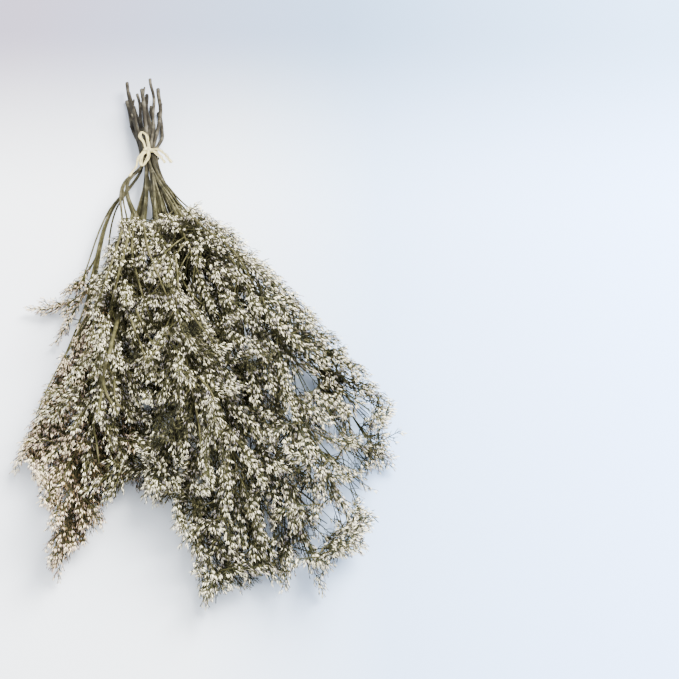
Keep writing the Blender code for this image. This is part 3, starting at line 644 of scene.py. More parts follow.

# Hollows between the heads, where the florets are darkened by painted shade, and gaps near the
# edge, where there are none. Each is round on the surface, with its bearing, reach and radius
# there, and a hollow has the darkness of its painted shade too.
HOLLOW_SHADE_SPOTS = (
    (10.4, 0.165, 0.012, 1.2), (16.0, 0.218, 0.013, 1.5), (8.0, 0.313, 0.013, 2.0),
    (10.0, 0.326, 0.012, 2.0), (9.5, 0.300, 0.009, 1.5), (7.0, 0.335, 0.010, 1.2),
    (1.6, 0.242, 0.011, 1.2), (25.0, 0.276, 0.015, 1.0), (24.8, 0.398, 0.010, 0.9),
    (14.7, 0.360, 0.011, 0.9), (12.0, 0.405, 0.013, 0.8), (30.0, 0.275, 0.012, 0.7),
    (21.0, 0.235, 0.010, 0.7), (24.0, 0.345, 0.010, 0.6),
)
GAPS = (
    (32.0, 0.320, 0.010), (36.0, 0.355, 0.006), (36.5, 0.374, 0.007), (34.5, 0.385, 0.007),
    (31.5, 0.375, 0.005), (29.0, 0.390, 0.007), (31.0, 0.410, 0.009), (28.8, 0.435, 0.008),
    (25.5, 0.445, 0.006), (24.5, 0.456, 0.007), (24.0, 0.425, 0.005), (19.7, 0.445, 0.005),
    (21.5, 0.468, 0.006), (32.0, 0.440, 0.008), (30.0, 0.452, 0.006), (37.0, 0.412, 0.005),
)

# Fine twigs, three-sided: rings and radii of the sprays' axes, of the bare twigs that run low
# under each spray, and of the side twigs
TWIG_CORNERS = 3
AXIS_RINGS, AXIS_RADIUS = 9, (0.00062, 0.00032)
LOW_RINGS, LOW_RADIUS = 5, (0.00075, 0.00045)
SIDE_RINGS, SIDE_RADIUS = 3, (0.00034, 0.00020)
LOW_TWIGS = 3              # for each spray
LOW_ASIDE = 0.006
LOW_LENGTH = 0.62          # as a share of the spray's
LOW_HEIGHT = 0.25          # of its tip, as a share of the spray's
UNDER_FLORETS = 0.006
# Tints of a twig: by chance between the first two where it stands open, and towards the last as
# painted shade deep in the heads
TWIG_LIGHT, TWIG_SHADE_TINT = (0.02, 0.5), 0.97

# The tie. Its strips are a little slimmer than their solids, cupped, with loose fibres on them.
STRIP_POINTS = 40
STRIP_SIDES = 12
STRIP_SHARE = 0.72
CUPPED = 0.10              # share of the width
LOOSE_FIBRES = 3
FIBRE_SIDES = 4
FIBRE_RADIUS = 0.00030
FIBRE_SWINGS = (0.7, 0.4, 0.37)    # the first one's swings, more for each other, and their start
FIBRE_ASIDE, FIBRE_ABOVE = 0.62, 0.45  # shares of the strip's width and thickness
BAND_RINGS = 73
KNOT_RINGS, KNOT_SIDES = 16, 24
KNOT_POLE = 0.06           # angle from its ends to the first ring
FOLDS, FOLD_HEIGHT, FOLD_SLANT = 5, 0.07, 2.2

# The map: how far a twig's tint spreads round it, and the margins of a strip
MAP = "OFBake"
TINT_SPREAD = 0.012
STRIP_MARGIN = 0.04
END_MARGIN = 0.02
LOWEST_POINT = 0.0002      # nothing is drawn nearer to the surface

# Where the camera looks, and from how far. EYE is the same place, seen from below the tie.
LOOK_AT = (TIE_X + 0.201, TIE_Y - 0.225, 0.0)
ELEVATION = 55.0
DISTANCE = 0.984
FIELD_OF_VIEW = 36.0

# The surface and the light
FLOOR_HALF = 6.0
LIGHT_PLACE, LIGHT_SIZE, LIGHT_POWER = (1.1, 0.7, 1.5), 1.3, 430.0
LIGHT_COLOUR = (1.0, 0.985, 0.96)
SKY_COLOUR, SKY_STRENGTH = (0.92, 0.95, 1.0, 1.0), 4.2


class Wire:
    """A shader socket that stands in sums: each sum or product adds a Math node."""

    def __init__(self, socket):
        self.socket = socket
        self.tree = socket.id_data

    @staticmethod
    def node(tree, kind, values, output=0, stops=None, **settings):
        """A node of this type. Its settings and a ramp's stops come first, then its sockets get
        their values or links."""
        node = tree.nodes.new(kind)
        for name, value in settings.items():
            setattr(node, name, value)
        if stops:
            elements = node.color_ramp.elements
            while len(elements) < len(stops):
                elements.new(1.0)
            for element, (place, colour) in zip(elements, stops):
                element.position = place
                element.color = (*colour, 1.0)
        for key, value in values.items():
            if isinstance(value, Wire):
                tree.links.new(value.socket, node.inputs[key])
            else:
                node.inputs[key].default_value = value
        return Wire(node.outputs[output])

    def math(self, operation, other):
        """A Math node on this socket and another value."""
        return Wire.node(self.tree, "ShaderNodeMath", {0: self, 1: other}, operation=operation)

    def __add__(self, other):
        return self.math("ADD", other)

    def __mul__(self, other):
        return self.math("MULTIPLY", other)

    __radd__ = __add__
    __rmul__ = __mul__


def ramp(share, stops):
    """A colour that follows a share of 0 to 1 through the stops."""
    return Wire.node(share.tree, "ShaderNodeValToRGB", {"Fac": share}, stops=stops)


def blend(share, first, second):
    """A colour between two."""
    first, second = [value if isinstance(value, Wire) else (*value, 1.0)
                     for value in (first, second)]
    return Wire.node(share.tree, "ShaderNodeMix", {"Factor": share, 6: first, 7: second},
                     output=2, data_type="RGBA", clamp_factor=True)


def darkened(colour, shade):
    """A colour times a shade."""
    return Wire.node(colour.tree, "ShaderNodeMix", {"Factor": 1.0, 6: colour, 7: shade},
                     output=2, data_type="RGBA", blend_type="MULTIPLY")


def step(value, low, high):
    """A smooth step from 0 at low to 1 at high."""
    return Wire.node(value.tree, "ShaderNodeMapRange",
                     {"Value": value, "From Min": low, "From Max": high},
                     interpolation_type="SMOOTHSTEP", clamp=True)


def noise(place, scale, detail=3.0, roughness=0.55):
    """Cloudy noise of about 0 to 1."""
    return Wire.node(place.tree, "ShaderNodeTexNoise",
                     {"Vector": place, "Scale": scale, "Detail": detail, "Roughness": roughness})


def stretched(place, scales):
    """A place scaled along each axis."""
    return Wire.node(place.tree, "ShaderNodeVectorMath", {0: place, 1: scales},
                     operation="MULTIPLY")


def object_place(tree):
    """Object coordinates, in metres."""
    return Wire.node(tree, "ShaderNodeTexCoord", {}, output=3)


def own_map(tree):
    """The place on the piece's own map."""
    return Wire.node(tree, "ShaderNodeUVMap", {}, uv_map=MAP)


def part_of(place, axis):
    """A place's distance along axis 0, 1 or 2."""
    return Wire.node(place.tree, "ShaderNodeSeparateXYZ", {"Vector": place}, output=axis)


def bump(height, distance, strength):
    """A normal that follows a height."""
    return Wire.node(height.tree, "ShaderNodeBump",
                     {"Height": height, "Distance": distance, "Strength": strength})


def new_finish(name, **fixed):
    """A material with a Principled shader, and the values that are the same all over it."""
    made = bpy.data.materials.new(name)
    made.use_nodes = True
    shader = made.node_tree.nodes["Principled BSDF"]
    for key, value in fixed.items():
        shader.inputs[key.replace("_", " ")].default_value = value
    return made, made.node_tree, shader


def connect(shader, **wires):
    """Links wires to the shader's sockets."""
    for key, wire in wires.items():
        wire.tree.links.new(wire.socket, shader.inputs[key.replace("_", " ")])


# Colours of a floret's rim, from the brightest to the darkest: warm ones for the stems at the
# left, greenish ones for the others. The darkest also serve as painted shade deep in the heads.
TINTS = (0.0, 0.30, 0.45, 0.60, 0.78, 1.0)
WARM_RIMS = ((0.97, 0.84, 0.55), (0.64, 0.50, 0.32), (0.24, 0.175, 0.165), (0.14, 0.095, 0.045),
             (0.045, 0.033, 0.013), (0.007, 0.005, 0.003))
GREENISH_RIMS = ((0.97, 0.90, 0.62), (0.62, 0.56, 0.37), (0.20, 0.175, 0.185), (0.11, 0.098, 0.047),
                 (0.034, 0.033, 0.013), (0.006, 0.006, 0.004))
WARM_STEMS = (1, 2)


def floret_finish(name, rims):
    """Papery florets. The map gives how far up a floret a point lies, and the floret's tint:
    creamy white, then lilac grey, straw and brown to nearly black, each with a dark foot. The
    darker tints stand partly for painted shade deep in the heads."""
    made, tree, shader = new_finish(name, Roughness=0.85, Specular_IOR_Level=0.08)
    place = own_map(tree)
    up, tint = part_of(place, 0), part_of(place, 1)
    rim = ramp(tint, list(zip(TINTS, rims)))
    foot = ramp(tint, [(0.0, (0.047, 0.047, 0.014)), (0.5, (0.022, 0.0215, 0.0075)),
                       (1.0, (0.004, 0.0035, 0.002))])
    throat = blend(step(up, 0.84, 1.0), rim, (0.16, 0.10, 0.045))
    connect(shader, Base_Color=blend(step(up, 0.28, 0.44), foot, throat))
    return made


def twig_finish():
    """Fine twigs, olive to straw, and greyer at the right. The map gives how far along a twig a
    point lies, and its tint, which is darker deep in the heads as painted shade."""
    made, tree, shader = new_finish("fine_twigs", Roughness=0.75, Specular_IOR_Level=0.12)
    place = own_map(tree)
    along, tint = part_of(place, 0), part_of(place, 1)
    young = ramp(tint, [(0.0, (0.058, 0.057, 0.016)), (0.45, (0.033, 0.031, 0.009)),
                        (1.0, (0.005, 0.0045, 0.002))])
    old = ramp(tint, [(0.0, (0.039, 0.038, 0.0095)), (0.45, (0.024, 0.021, 0.006)),
                      (1.0, (0.0045, 0.004, 0.002))])
    grey = ramp(tint, [(0.0, (0.032, 0.034, 0.014)), (0.45, (0.019, 0.020, 0.008)),
                       (1.0, (0.004, 0.004, 0.002))])
    right = part_of(object_place(tree), 0)
    connect(shader, Base_Color=blend(step(right, -0.06, 0.10), blend(along, old, young), grey))
    return made


def wood_finish():
    """Woody stems: grey brown at the cut ends and olive towards the heads, with fine grooves
    along them. A cut face, at the map's foot, is pale pith."""
    made, tree, shader = new_finish("woody_stems", Roughness=0.78, Specular_IOR_Level=0.08)
    place, where = own_map(tree), object_place(tree)
    streaks = noise(stretched(place, (110.0, 9.0, 1.0)), 1.0)
    patches = noise(where, 75.0, detail=5.0, roughness=0.65)
    green = ramp(patches, [(0.36, (0.021, 0.020, 0.0068)), (0.52, (0.048, 0.044, 0.0165)),
                           (0.66, (0.100, 0.089, 0.045))])
    grey = ramp(patches, [(0.36, (0.0075, 0.006, 0.0038)), (0.52, (0.020, 0.017, 0.011)),
                          (0.66, (0.064, 0.057, 0.041))])
    bark = blend(step(part_of(where, 1), 0.02, 0.24), green, grey)
    shade = ramp(streaks, [(0.38, (0.52, 0.50, 0.47)), (0.60, (1.0, 1.0, 1.0))])
    cut = step(part_of(place, 1), 0.012, 0.006)
    connect(shader, Base_Color=blend(cut, darkened(bark, shade), (0.26, 0.20, 0.12)),
            Normal=bump(streaks, 0.0004, 0.7))
    return made


def raffia_finish():
    """Raffia: pale cream straw with fibres along it and a few darker ones."""
    made, tree, shader = new_finish("raffia_fibre", Roughness=0.62, Specular_IOR_Level=0.40)
    fibres = noise(stretched(own_map(tree), (110.0, 5.0, 1.0)), 1.0, detail=4.0)
    cream = ramp(fibres, [(0.34, (0.10, 0.080, 0.030)), (0.50, (0.24, 0.200, 0.080)),
                          (0.66, (0.44, 0.385, 0.170))])
    connect(shader, Base_Color=cream, Normal=bump(fibres, 0.0003, 0.8))
    return made


def floor_finish():
    """A matt pale surface with painted light and shade: painted shade makes it greyer at the far
    side, and a painted bluish light makes it bluer to the right.
    """
    made, tree, shader = new_finish("pale_surface", Roughness=0.85, Specular_IOR_Level=0.2)
    where = object_place(tree)
    share = part_of(where, 0) * 1.33 + 0.33
    # Painted bluish light, stronger to the right, with painted shade on the far side
    near_painted_light_and_shade = ramp(share, [(0.0, (0.475, 0.485, 0.50)), (0.34, (0.43, 0.46, 0.49)),
                             (0.55, (0.27, 0.375, 0.55)), (1.0, (0.31, 0.47, 0.80))])
    far_painted_shade_and_light = ramp(share, [(0.0, (0.138, 0.127, 0.163)), (0.5, (0.098, 0.150, 0.228)),
                            (1.0, (0.157, 0.255, 0.405))])
    # Painted shade: none on the near side, full on the far side
    far = step(part_of(where, 1), 0.10, 0.42)
    connect(shader, Base_Color=blend(far, near_painted_light_and_shade, far_painted_shade_and_light))
    return made


def mesh_piece(name, node, shapes, finish):
    """An object in place of a node, from shapes that each have points, triangles and the map
    place of each of the triangles' corners. It lies at the tie's place, above the surface."""
    points, faces, corners = zip(*shapes)
    starts = np.cumsum([0] + [len(group) for group in points[:-1]])
    faces = np.concatenate([triangles + start for triangles, start in zip(faces, starts)])
    points = np.concatenate(points) + [TIE_X, TIE_Y, 0.0]
    points[:, 2] = np.maximum(points[:, 2], LOWEST_POINT)
    mesh = bpy.data.meshes.new(name)
    mesh.vertices.add(len(points))
    mesh.vertices.foreach_set("co", np.ascontiguousarray(points, np.float32).ravel())
    mesh.loops.add(3 * len(faces))
    mesh.loops.foreach_set("vertex_index", np.ascontiguousarray(faces, np.int32).ravel())
    mesh.polygons.add(len(faces))
    mesh.polygons.foreach_set("loop_start", np.arange(0, 3 * len(faces), 3, dtype=np.int32))
    mesh.update(calc_edges=True)
    layer = mesh.uv_layers.new(name=MAP)
    layer.data.foreach_set("uv", np.concatenate(corners).astype(np.float32).ravel())
    mesh.shade_smooth()
    mesh.materials.append(finish)
    mesh.validate()
    piece = bpy.data.objects.new(name, mesh)
    bpy.context.scene.collection.objects.link(piece)
    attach(piece, "root")
    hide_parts(node)


def unit(vectors):
    """Each vector divided by its length."""
    return vectors / np.linalg.norm(vectors, axis=-1, keepdims=True)


def tube_pattern(rings, sides):
    """A closed tube's triangles, and each corner's place on it: round and along, as shares.
    Point j * sides + c is point c of ring j, and the last two close its foot and its tip."""
    j, c = np.meshgrid(np.arange(rings - 1), np.arange(sides), indexing="ij")
    halves = np.array([[(0, 0), (0, 1), (1, 1)], [(0, 0), (1, 1), (1, 0)]])[:, None]
    ring = halves[..., 0] + j.ravel()[:, None]
    side = halves[..., 1] + c.ravel()[:, None]
    walls = (ring * sides + side % sides).reshape(-1, 3)
    spots = np.stack([side / sides, ring / (rings - 1)], -1).reshape(-1, 3, 2)
    k = np.arange(sides)
    following = (k + 1) % sides
    foot, last = rings * sides, (rings - 1) * sides
    caps = np.concatenate([np.stack([following, k, np.full(sides, foot)], 1),
                           np.stack([last + k, last + following, np.full(sides, foot + 1)], 1)])
    wide = np.stack([k + 1, k, k + 0.5], 1) / sides
    high = np.repeat([[0.0, 0.0, -END_MARGIN], [1.0, 1.0, 1 + END_MARGIN]], sides, axis=0)
    ends = np.stack([np.concatenate([wide, wide[:, [1, 0, 2]]]), high], -1)
    return np.concatenate([walls, caps]), np.concatenate([spots, ends])


def turned_round(faces, spots):
    """The same triangles facing the other way. The pattern's faces point outwards where the
    points of a ring run from x to y and the path runs along z, so other tubes need this."""
    return faces[:, ::-1], spots[:, ::-1]


def tubes(paths, radii, sides, ridges=0.0):
    """Closed tubes along paths of shape (tubes, rings, 3). Each point of a ring is the path's
    point plus the radius times the side direction by the cosine of its angle and the lift by
    the sine, and ridges add the cosine of three times the angle. One more point ends each tube,
    a little behind its foot and a radius ahead of its tip."""
    along = unit(np.gradient(paths, axis=1))
    side = unit(np.cross(along, [0.03, 0.02, 1.0]))
    lift = np.cross(side, along)
    angle = np.arange(sides) * 2 * np.pi / sides
    out = np.cos(angle)[:, None] * side[:, :, None] + np.sin(angle)[:, None] * lift[:, :, None]
    swell = 1 + ridges * np.cos(3 * angle)
    rings = paths[:, :, None] + out * radii[:, :, None, None] * swell[:, None]
    feet = paths[:, :1] - along[:, :1] * radii[:, :1, None] * 0.15
    tips = paths[:, -1:] + along[:, -1:] * radii[:, -1:, None]
    points = np.concatenate([rings.reshape(len(paths), -1, 3), feet, tips], axis=1)
    faces, spots = turned_round(*tube_pattern(paths.shape[1], sides))
    faces = faces[None] + points.shape[1] * np.arange(len(paths))[:, None, None]
    return points.reshape(-1, 3), faces.reshape(-1, 3), spots


def tapered(count, rings, radii):
    """The radii of like tubes, even steps from the first to the last: (tubes, rings)."""
    return np.linspace(*radii, rings)[None] * np.ones((count, 1))


def palette_corners(spots, tints):
    """Map places for thin twigs: how far along a twig lies across the map, and its tint up it."""
    along = np.clip(spots[..., 1], 0.01, 0.99)
    spread = (spots[..., 0] - 0.5) * TINT_SPREAD
    return np.stack([np.broadcast_to(along, (len(tints),) + along.shape),
                     tints[:, None, None] + spread[None]], -1).reshape(-1, 2)


def strip_corners(spots, count, part=0, parts=1):
    """Map places for tubes side by side, which fill one of several equal parts of the map. Each
    has a strip of its own, run along from foot to tip."""
    first = np.arange(count)[:, None, None]
    across_map = (first + STRIP_MARGIN + (1 - 2 * STRIP_MARGIN) * spots[None, ..., 0]) / count
    along = np.clip(spots[..., 1], -END_MARGIN, 1 + END_MARGIN)
    along = np.broadcast_to(END_MARGIN + (1 - 2 * END_MARGIN) * along, across_map.shape)
    return np.stack([(across_map + part) / parts, along], -1).reshape(-1, 2)


def branch_candidate(rng, sprays, size=1.0):
    """A short spray that leaves one of a stem's sprays sideways and bends forward."""
    parent = sprays[rng.integers(len(sprays))]
    place = rng.uniform(*BRANCH_PLACE)
    root, onwards = spray_path(parent, [place, place + BRANCH_STEP])
    turn = rng.uniform(0.0, 2 * np.pi)
    lean = np.radians(rng.uniform(*BRANCH_LEAN))
    length = rng.uniform(*BRANCH_LENGTH) * size
    return leaning_spray(root, unit(onwards - root), turn, lean, length, BRANCH_BARE,
                         parent.width)


def share_of(value, low, high):
    """From 0 at low to 1 at high."""
    return np.clip((value - low) / (high - low), 0.0, 1.0)


def surface_place(bearing, reach):
    """The place on the surface on a bearing, at this distance from below the tie."""
    return heading(bearing)[:2] * reach


def inside(points, spots):
    """How deep the places that points hide lie in each round spot: 1 minus the square of the
    distance from its middle as a share of its radius, and 0 outside it: (points, spots)."""
    middles = np.array([surface_place(*spot[:2]) for spot in spots])
    radii = np.array([spot[2] for spot in spots])
    apart = np.linalg.norm(hidden_by(points)[:, None] - middles, axis=2) / radii
    return np.clip(1 - apart**2, 0.0, 1.0)


def in_gap(points):
    """Whether each point lies in a gap."""
    return inside(points, GAPS).max(axis=1) > 0


class Cover:
    """How many florets hide each cell of the surface."""

    def __init__(self):
        self.counts = np.zeros((COVER_CELLS, COVER_CELLS))

    def cells(self, points):
        """The cells that these points hide."""
        spots = (hidden_by(points) / COVER_CELL + TIE_CELL).astype(int)
        return tuple(np.clip(spots, 0, COVER_CELLS - 1).T)

    def add(self, points):
        """Counts these florets too."""
        np.add.at(self.counts, self.cells(points), 1.0)

    def bareness(self, points):
        """From 1 where nothing has grown yet to 0 where the cells hold all that they should, or
        lie in a gap."""
        x, y = hidden_by(points.mean(axis=0, keepdims=True))[0]
        thin = (share_of(np.degrees(np.arctan2(x, -y)), *THIN_BEARING)
                * share_of(np.hypot(x, y), *THIN_REACH))
        wanted = 1 - self.counts[self.cells(points)] / between(COVER_FULL, COVER_THIN, thin)
        return (np.clip(wanted, 0.0, 1.0) * ~in_gap(points)).mean()


def barest(crowd, cover, candidates, overlap):
    """Of those sprays that lie inside the outline, below the top and not too deep in their
    neighbours, the one that hides the barest ground, if any does."""
    best, most = None, LEAST_BARE
    for spray in candidates:
        points, sizes = spray_balls(spray)
        if points[:, 2].max() > HIGHEST or points[:, 2].min() < LOWEST:
            continue
        bareness = cover.bareness(floret_lines(spray)[1])
        if bareness <= most or not within_outline(spray):
            continue
        away = np.linalg.norm(points - spray.root, axis=1) > ROOT_ZONE
        if crowd.room(points[away], sizes[away], crowd.owners >= 0) > -overlap:
            best, most = spray, bareness
    return best


def extra_sprays(paths, sprays):
    """More sprays for each stem, each where the heads are barest. They may reach into their
    neighbours, as real heads do."""
    rng = np.random.default_rng(EXTRA_SEED)
    crowd, cover = crowd_of(paths, sprays), Cover()
    for spray in sum(sprays, []):
        cover.add(floret_lines(spray)[1])
    extra = [[] for _ in paths]
    for spray in sprays[0][1:1 + len(LONE_SPRAYS)]:
        extra[0] += [branch_candidate(rng, [spray], LONE_SHARE) for _ in range(LONE_BRANCHES)]
    for turn in range(EXTRA_SPRAYS + BRANCHES):
        for i, stem in enumerate(STEMS):
            if turn < EXTRA_SPRAYS:
                tries = [spray_candidate(rng, stem, paths[i]) for _ in range(EXTRA_TRIES)]
                best = barest(crowd, cover, tries, EXTRA_OVERLAP)
            else:
                bearers = sprays[i] + extra[i]
                tries = [branch_candidate(rng, bearers) for _ in range(BRANCH_TRIES)]
                best = barest(crowd, cover, tries, BRANCH_OVERLAP)
            if best is not None:
                extra[i].append(best)
                crowd.add(*spray_balls(best), i)
                cover.add(floret_lines(best)[1])
    return extra


class Thicket:
    """Counts of florets in cells of space, each count spread over its neighbours."""

    def __init__(self, feet):
        self.low = feet.min(axis=0) - 2 * CELL
        spots = ((feet - self.low) / CELL).astype(int)
        self.counts = np.zeros(spots.max(axis=0) + 3)
        np.add.at(self.counts, tuple(spots.T), 1.0)
        for axis in range(3):
            self.counts = (self.counts + 0.5 * np.roll(self.counts, 1, axis)
                           + 0.5 * np.roll(self.counts, -1, axis)) / 2

    def openness(self, points):
        """How much of the sky reaches these points: the mean over the rays of e to the power of
        minus the florets met on the way out."""
        total = np.zeros(len(points))
        furthest = np.array(self.counts.shape) - 1
        for direction in RAYS:
            met = np.zeros(len(points))
            for cells_out in range(1, RAY_CELLS + 1):
                spots = (points + np.array(direction) * cells_out * CELL - self.low) / CELL
                spots = np.clip(spots.astype(int), 0, furthest)
                met += self.counts[tuple(spots.T)]
            total += np.exp(-met / THICK)
        return total / len(RAYS)


def side_twigs(spray, rng):
    """A spray's side twigs as roots, elbows, tips and the spray's own direction. They leave the
    axis by turns all round it, stand out steeply at first and bend forward, and shorten towards
    the spray's tip."""
    count = int(spray_length(spray) * (1 - spray.bare) / SIDE_SPACING)
    u = ((np.arange(count) + rng.uniform(*SIDE_SHIFT, count)) / count)**SIDE_CROWDING
    share = between(spray.bare, SIDE_END, u)
    axis = spray_path(spray, share)
    forward = unit(spray_path(spray, share + SIDE_STEP) - axis)
    side = unit(np.cross(forward, [0.0, 0.0, 1.0]))
    turn = TURN_PER_SIDE * np.arange(count) + rng.uniform(-TURN_UNEVEN, TURN_UNEVEN, count)
    turn = np.radians(turn)[:, None]
    out = np.cos(turn) * side + np.sin(turn) * np.cross(side, forward)
    full = np.clip(SIDE_FULL + SIDE_RISE * u, 0, 1) * (1 - SIDE_FALL * u**SIDE_BEND)
    size = (rng.uniform(*SIDE_LENGTH, count) * full * spray.width / SPRAY_WIDTH)[:, None]
    swing = rng.uniform(*SIDE_SWING, count)[:, None]
    start, finish = [np.cos(angle * swing) * forward + np.sin(angle * swing) * out
                     for angle in np.radians([SIDE_START, SIDE_FINISH])]
    elbow = axis + start * SIDE_ELBOW * size
    return axis, elbow, elbow + finish * (1 - SIDE_ELBOW) * size, forward


def floret_places(roots, elbows, tips, headings, rng):
    """Florets along side twigs: their feet, the directions they face, and how far along its twig
    each one comes. They stand in two rows, left and right by turns, and lie flat."""
    length = np.linalg.norm(elbows - roots, axis=1) + np.linalg.norm(tips - elbows, axis=1)
    count = (length / FLORET_EVERY).astype(int) + 2
    twig = np.repeat(np.arange(len(roots)), count)
    order = np.arange(len(twig)) - np.repeat(np.cumsum(count) - count, count)
    shift = rng.uniform(0.0, FLORET_SHIFT, len(twig))
    share = between(FIRST_FLORET, 1.0, (order + shift) / count[twig])[:, None]
    root, elbow, tip = roots[twig], elbows[twig], tips[twig]
    feet = parabola(root, elbow, tip, share)
    forward = unit((1 - share) * (elbow - root) + share * (tip - elbow))
    side = unit(np.cross(forward, [0.02, 0.01, 1.0]))
    row = np.where(order % 2 == 0, 1.0, -1.0)[:, None]
    outwards = unit(feet * [1.0, 1.0, 0.0])
    facing = (FACING_TWIG * forward + FACING_SPRAY * headings[twig] + FACING_OUT * outwards
              + FACING_ASIDE * row * side + rng.normal(0.0, FACING_UNEVEN, (len(twig), 3)))
    facing[:, 2] = FLATTER * facing[:, 2] - NOD
    return feet, unit(facing), order / count[twig]


def floret_shape(feet, facing, sizes, tints, rng):
    """Florets, each of five points: a foot, three lobes round it and a point in the middle, which
    is an open floret's throat and a closed one's tip. Six triangles join them."""
    count = len(feet)
    is_open = rng.random(count) < OPEN_FLORETS
    side = unit(np.cross(facing, unit(rng.normal(0.0, 1.0, (count, 3)))))
    lift = np.cross(facing, side)
    k = np.arange(LOBES)
    angle = k * 2 * np.pi / LOBES
    out = np.cos(angle)[:, None] * side[:, None] + np.sin(angle)[:, None] * lift[:, None]
    height = 1 + FLORET_RAGGED * rng.uniform(-1, 1, (count, LOBES))
    height = height * (sizes * np.where(is_open, RIM, WAIST))[:, None]
    wide = FLORET_RADIUS * sizes / np.mean(FLORET_LENGTH) * rng.uniform(*FLORET_WIDTHS, count)
    lobes = feet[:, None] + facing[:, None] * height[..., None] + out * wide[:, None, None]
    middle = feet + facing * (sizes * np.where(is_open, THROAT, 1.0))[:, None]
    points = np.concatenate([feet[:, None], lobes, middle[:, None]], axis=1)
    following = 1 + (k + 1) % LOBES
    outer = np.stack([np.zeros(LOBES, int), following, 1 + k], 1)
    inner = np.stack([np.full(LOBES, LOBES + 1), 1 + k, following], 1)
    faces = np.concatenate([outer, inner])
    spots = np.zeros((count, LOBES + 2, 2))
    spots[:, 0, 0] = FOOT_ON_MAP
    high = np.where(is_open[:, None], OPEN_ON_MAP, CLOSED_ON_MAP)
    spots[:, 1:-1, 0] = high[:, :1]
    spots[:, -1, 0] = high[:, 1]
    spots[:, 1:-1, 1] = LOBE_TINT * (k - 1)
    spots[..., 1] += tints[:, None]
    corners = spots[:, faces]
    faces = faces[None] + (LOBES + 2) * np.arange(count)[:, None, None]
    return points.reshape(-1, 3), faces.reshape(-1, 3), corners.reshape(-1, 2)


def depth_at(points, thicket, rng):
    """How deep a point stands, which sets its painted shade: from 0 where it stands open to the sky
    to 1 deep in the heads or in a hollow, and uneven in between."""
    depth = 1 - share_of(thicket.openness(points), CLOSED, OPEN)
    deep = depth * rng.uniform(*DEEP_SHADE_UNEVEN, len(points))
    # Florets in a hollow get painted shade, as dark as the hollow's darkness.
    darkness = [hollow[3] for hollow in HOLLOW_SHADE_SPOTS]
    hollow = np.minimum((inside(points, HOLLOW_SHADE_SPOTS) * darkness).max(axis=1), 1.0)
    return np.maximum(deep, hollow * rng.uniform(*HOLLOW_SHADE_UNEVEN, len(points)))


def floret_tints(feet, order, thicket, rng):
    """Each floret's tint: mostly creamy white, in places lilac grey, straw or brown, and darker the
    deeper it stands, partly because inner florets are duller and partly as painted shade. Those
    at the outer edge are duller."""
    cloud = (np.sin(feet[:, :2] * SLOW_WAVES + SLOW_STARTS).prod(axis=1)
             + FAST_SHARE * np.sin(feet[:, :2] @ FAST_WAVE))
    at_edge = share_of(thicket.openness(feet), EDGE, 1.0)
    dull = (rng.random(len(feet)) + CLOUD_DULLNESS * cloud - TIP_WHITE * order
            + EDGE_DULLNESS * at_edge - LEFT_WHITE * share_of(-feet[:, 0], 0.0, LEFT))
    tint = np.interp(dull, DULLNESS, DULLNESS_TINTS)
    # Painted shade: the deeper a floret stands, the nearer its tint comes to the darkest.
    return np.clip(between(tint, 1.0, depth_at(feet, thicket, rng)), 0.01, 0.985)


def fine_growth(sprays, rng):
    """The side twigs of a stem's sprays and the places of the florets on them, none in a gap."""
    twigs = [np.concatenate(group) for group in zip(*[side_twigs(spray, rng) for spray in sprays])]
    twigs = [values[~in_gap(twigs[2])] for values in twigs]
    florets = floret_places(*twigs, rng)
    return twigs, [values[~in_gap(florets[0])] for values in florets]


class Skin:
    """The top of the heads as the eye sees it: the greatest height of the florets that hide each
    cell of the surface."""

    def __init__(self, feet):
        hidden = hidden_by(feet)
        self.low = hidden.min(axis=0) - 2 * SKIN_CELL
        spots = ((hidden - self.low) / SKIN_CELL).astype(int)
        self.tops = np.zeros(spots.max(axis=0) + 3)
        np.maximum.at(self.tops, tuple(spots.T), feet[:, 2])

    def top(self, hidden):
        """The top over these places of the surface."""
        spots = np.clip(((hidden - self.low) / SKIN_CELL).astype(int), 0,
                        np.array(self.tops.shape) - 1)
        return self.tops[tuple(spots.T)]

    def above(self, hidden):
        """Points that hide these places and just clear the heads, but dip into them at both
        ends. Each lies on the line from its place to the eye, at the smoothed top's height."""
        heights = self.top(hidden)
        for _ in range(SKIN_SMOOTHING):
            padded = np.concatenate([heights[:1], heights, heights[-1:]])
            heights = (padded[:-2] + 2 * heights + padded[2:]) / 4
        rise = np.clip(SKIN_RISE * np.sin(np.pi * np.linspace(0.0, 1.0, len(hidden))), 0.0, 1.0)
        heights = heights + between(-SKIN_SUNK, SKIN_CLEAR, rise)
        level = between(hidden, np.array(EYE[:2]), (heights / EYE[2])[:, None])
        return np.column_stack([level, heights])


def branches_above(number, skin):
    """The branches of a stem that run over the heads, as paths and radii."""
    share = np.linspace(0.0, 1.0, SIDE_STEM_RINGS)
    made = []
    for branch in BRANCHES_ABOVE:
        if branch.stem == number:
            corners = [[*surface_place(*spot), 0.0] for spot in branch.points]
            path = skin.above(smooth_path(corners, len(share))[:, :2])
            made.append((path, branch.radius * between(1.0, BRANCH_TAPER, share)))
    return made


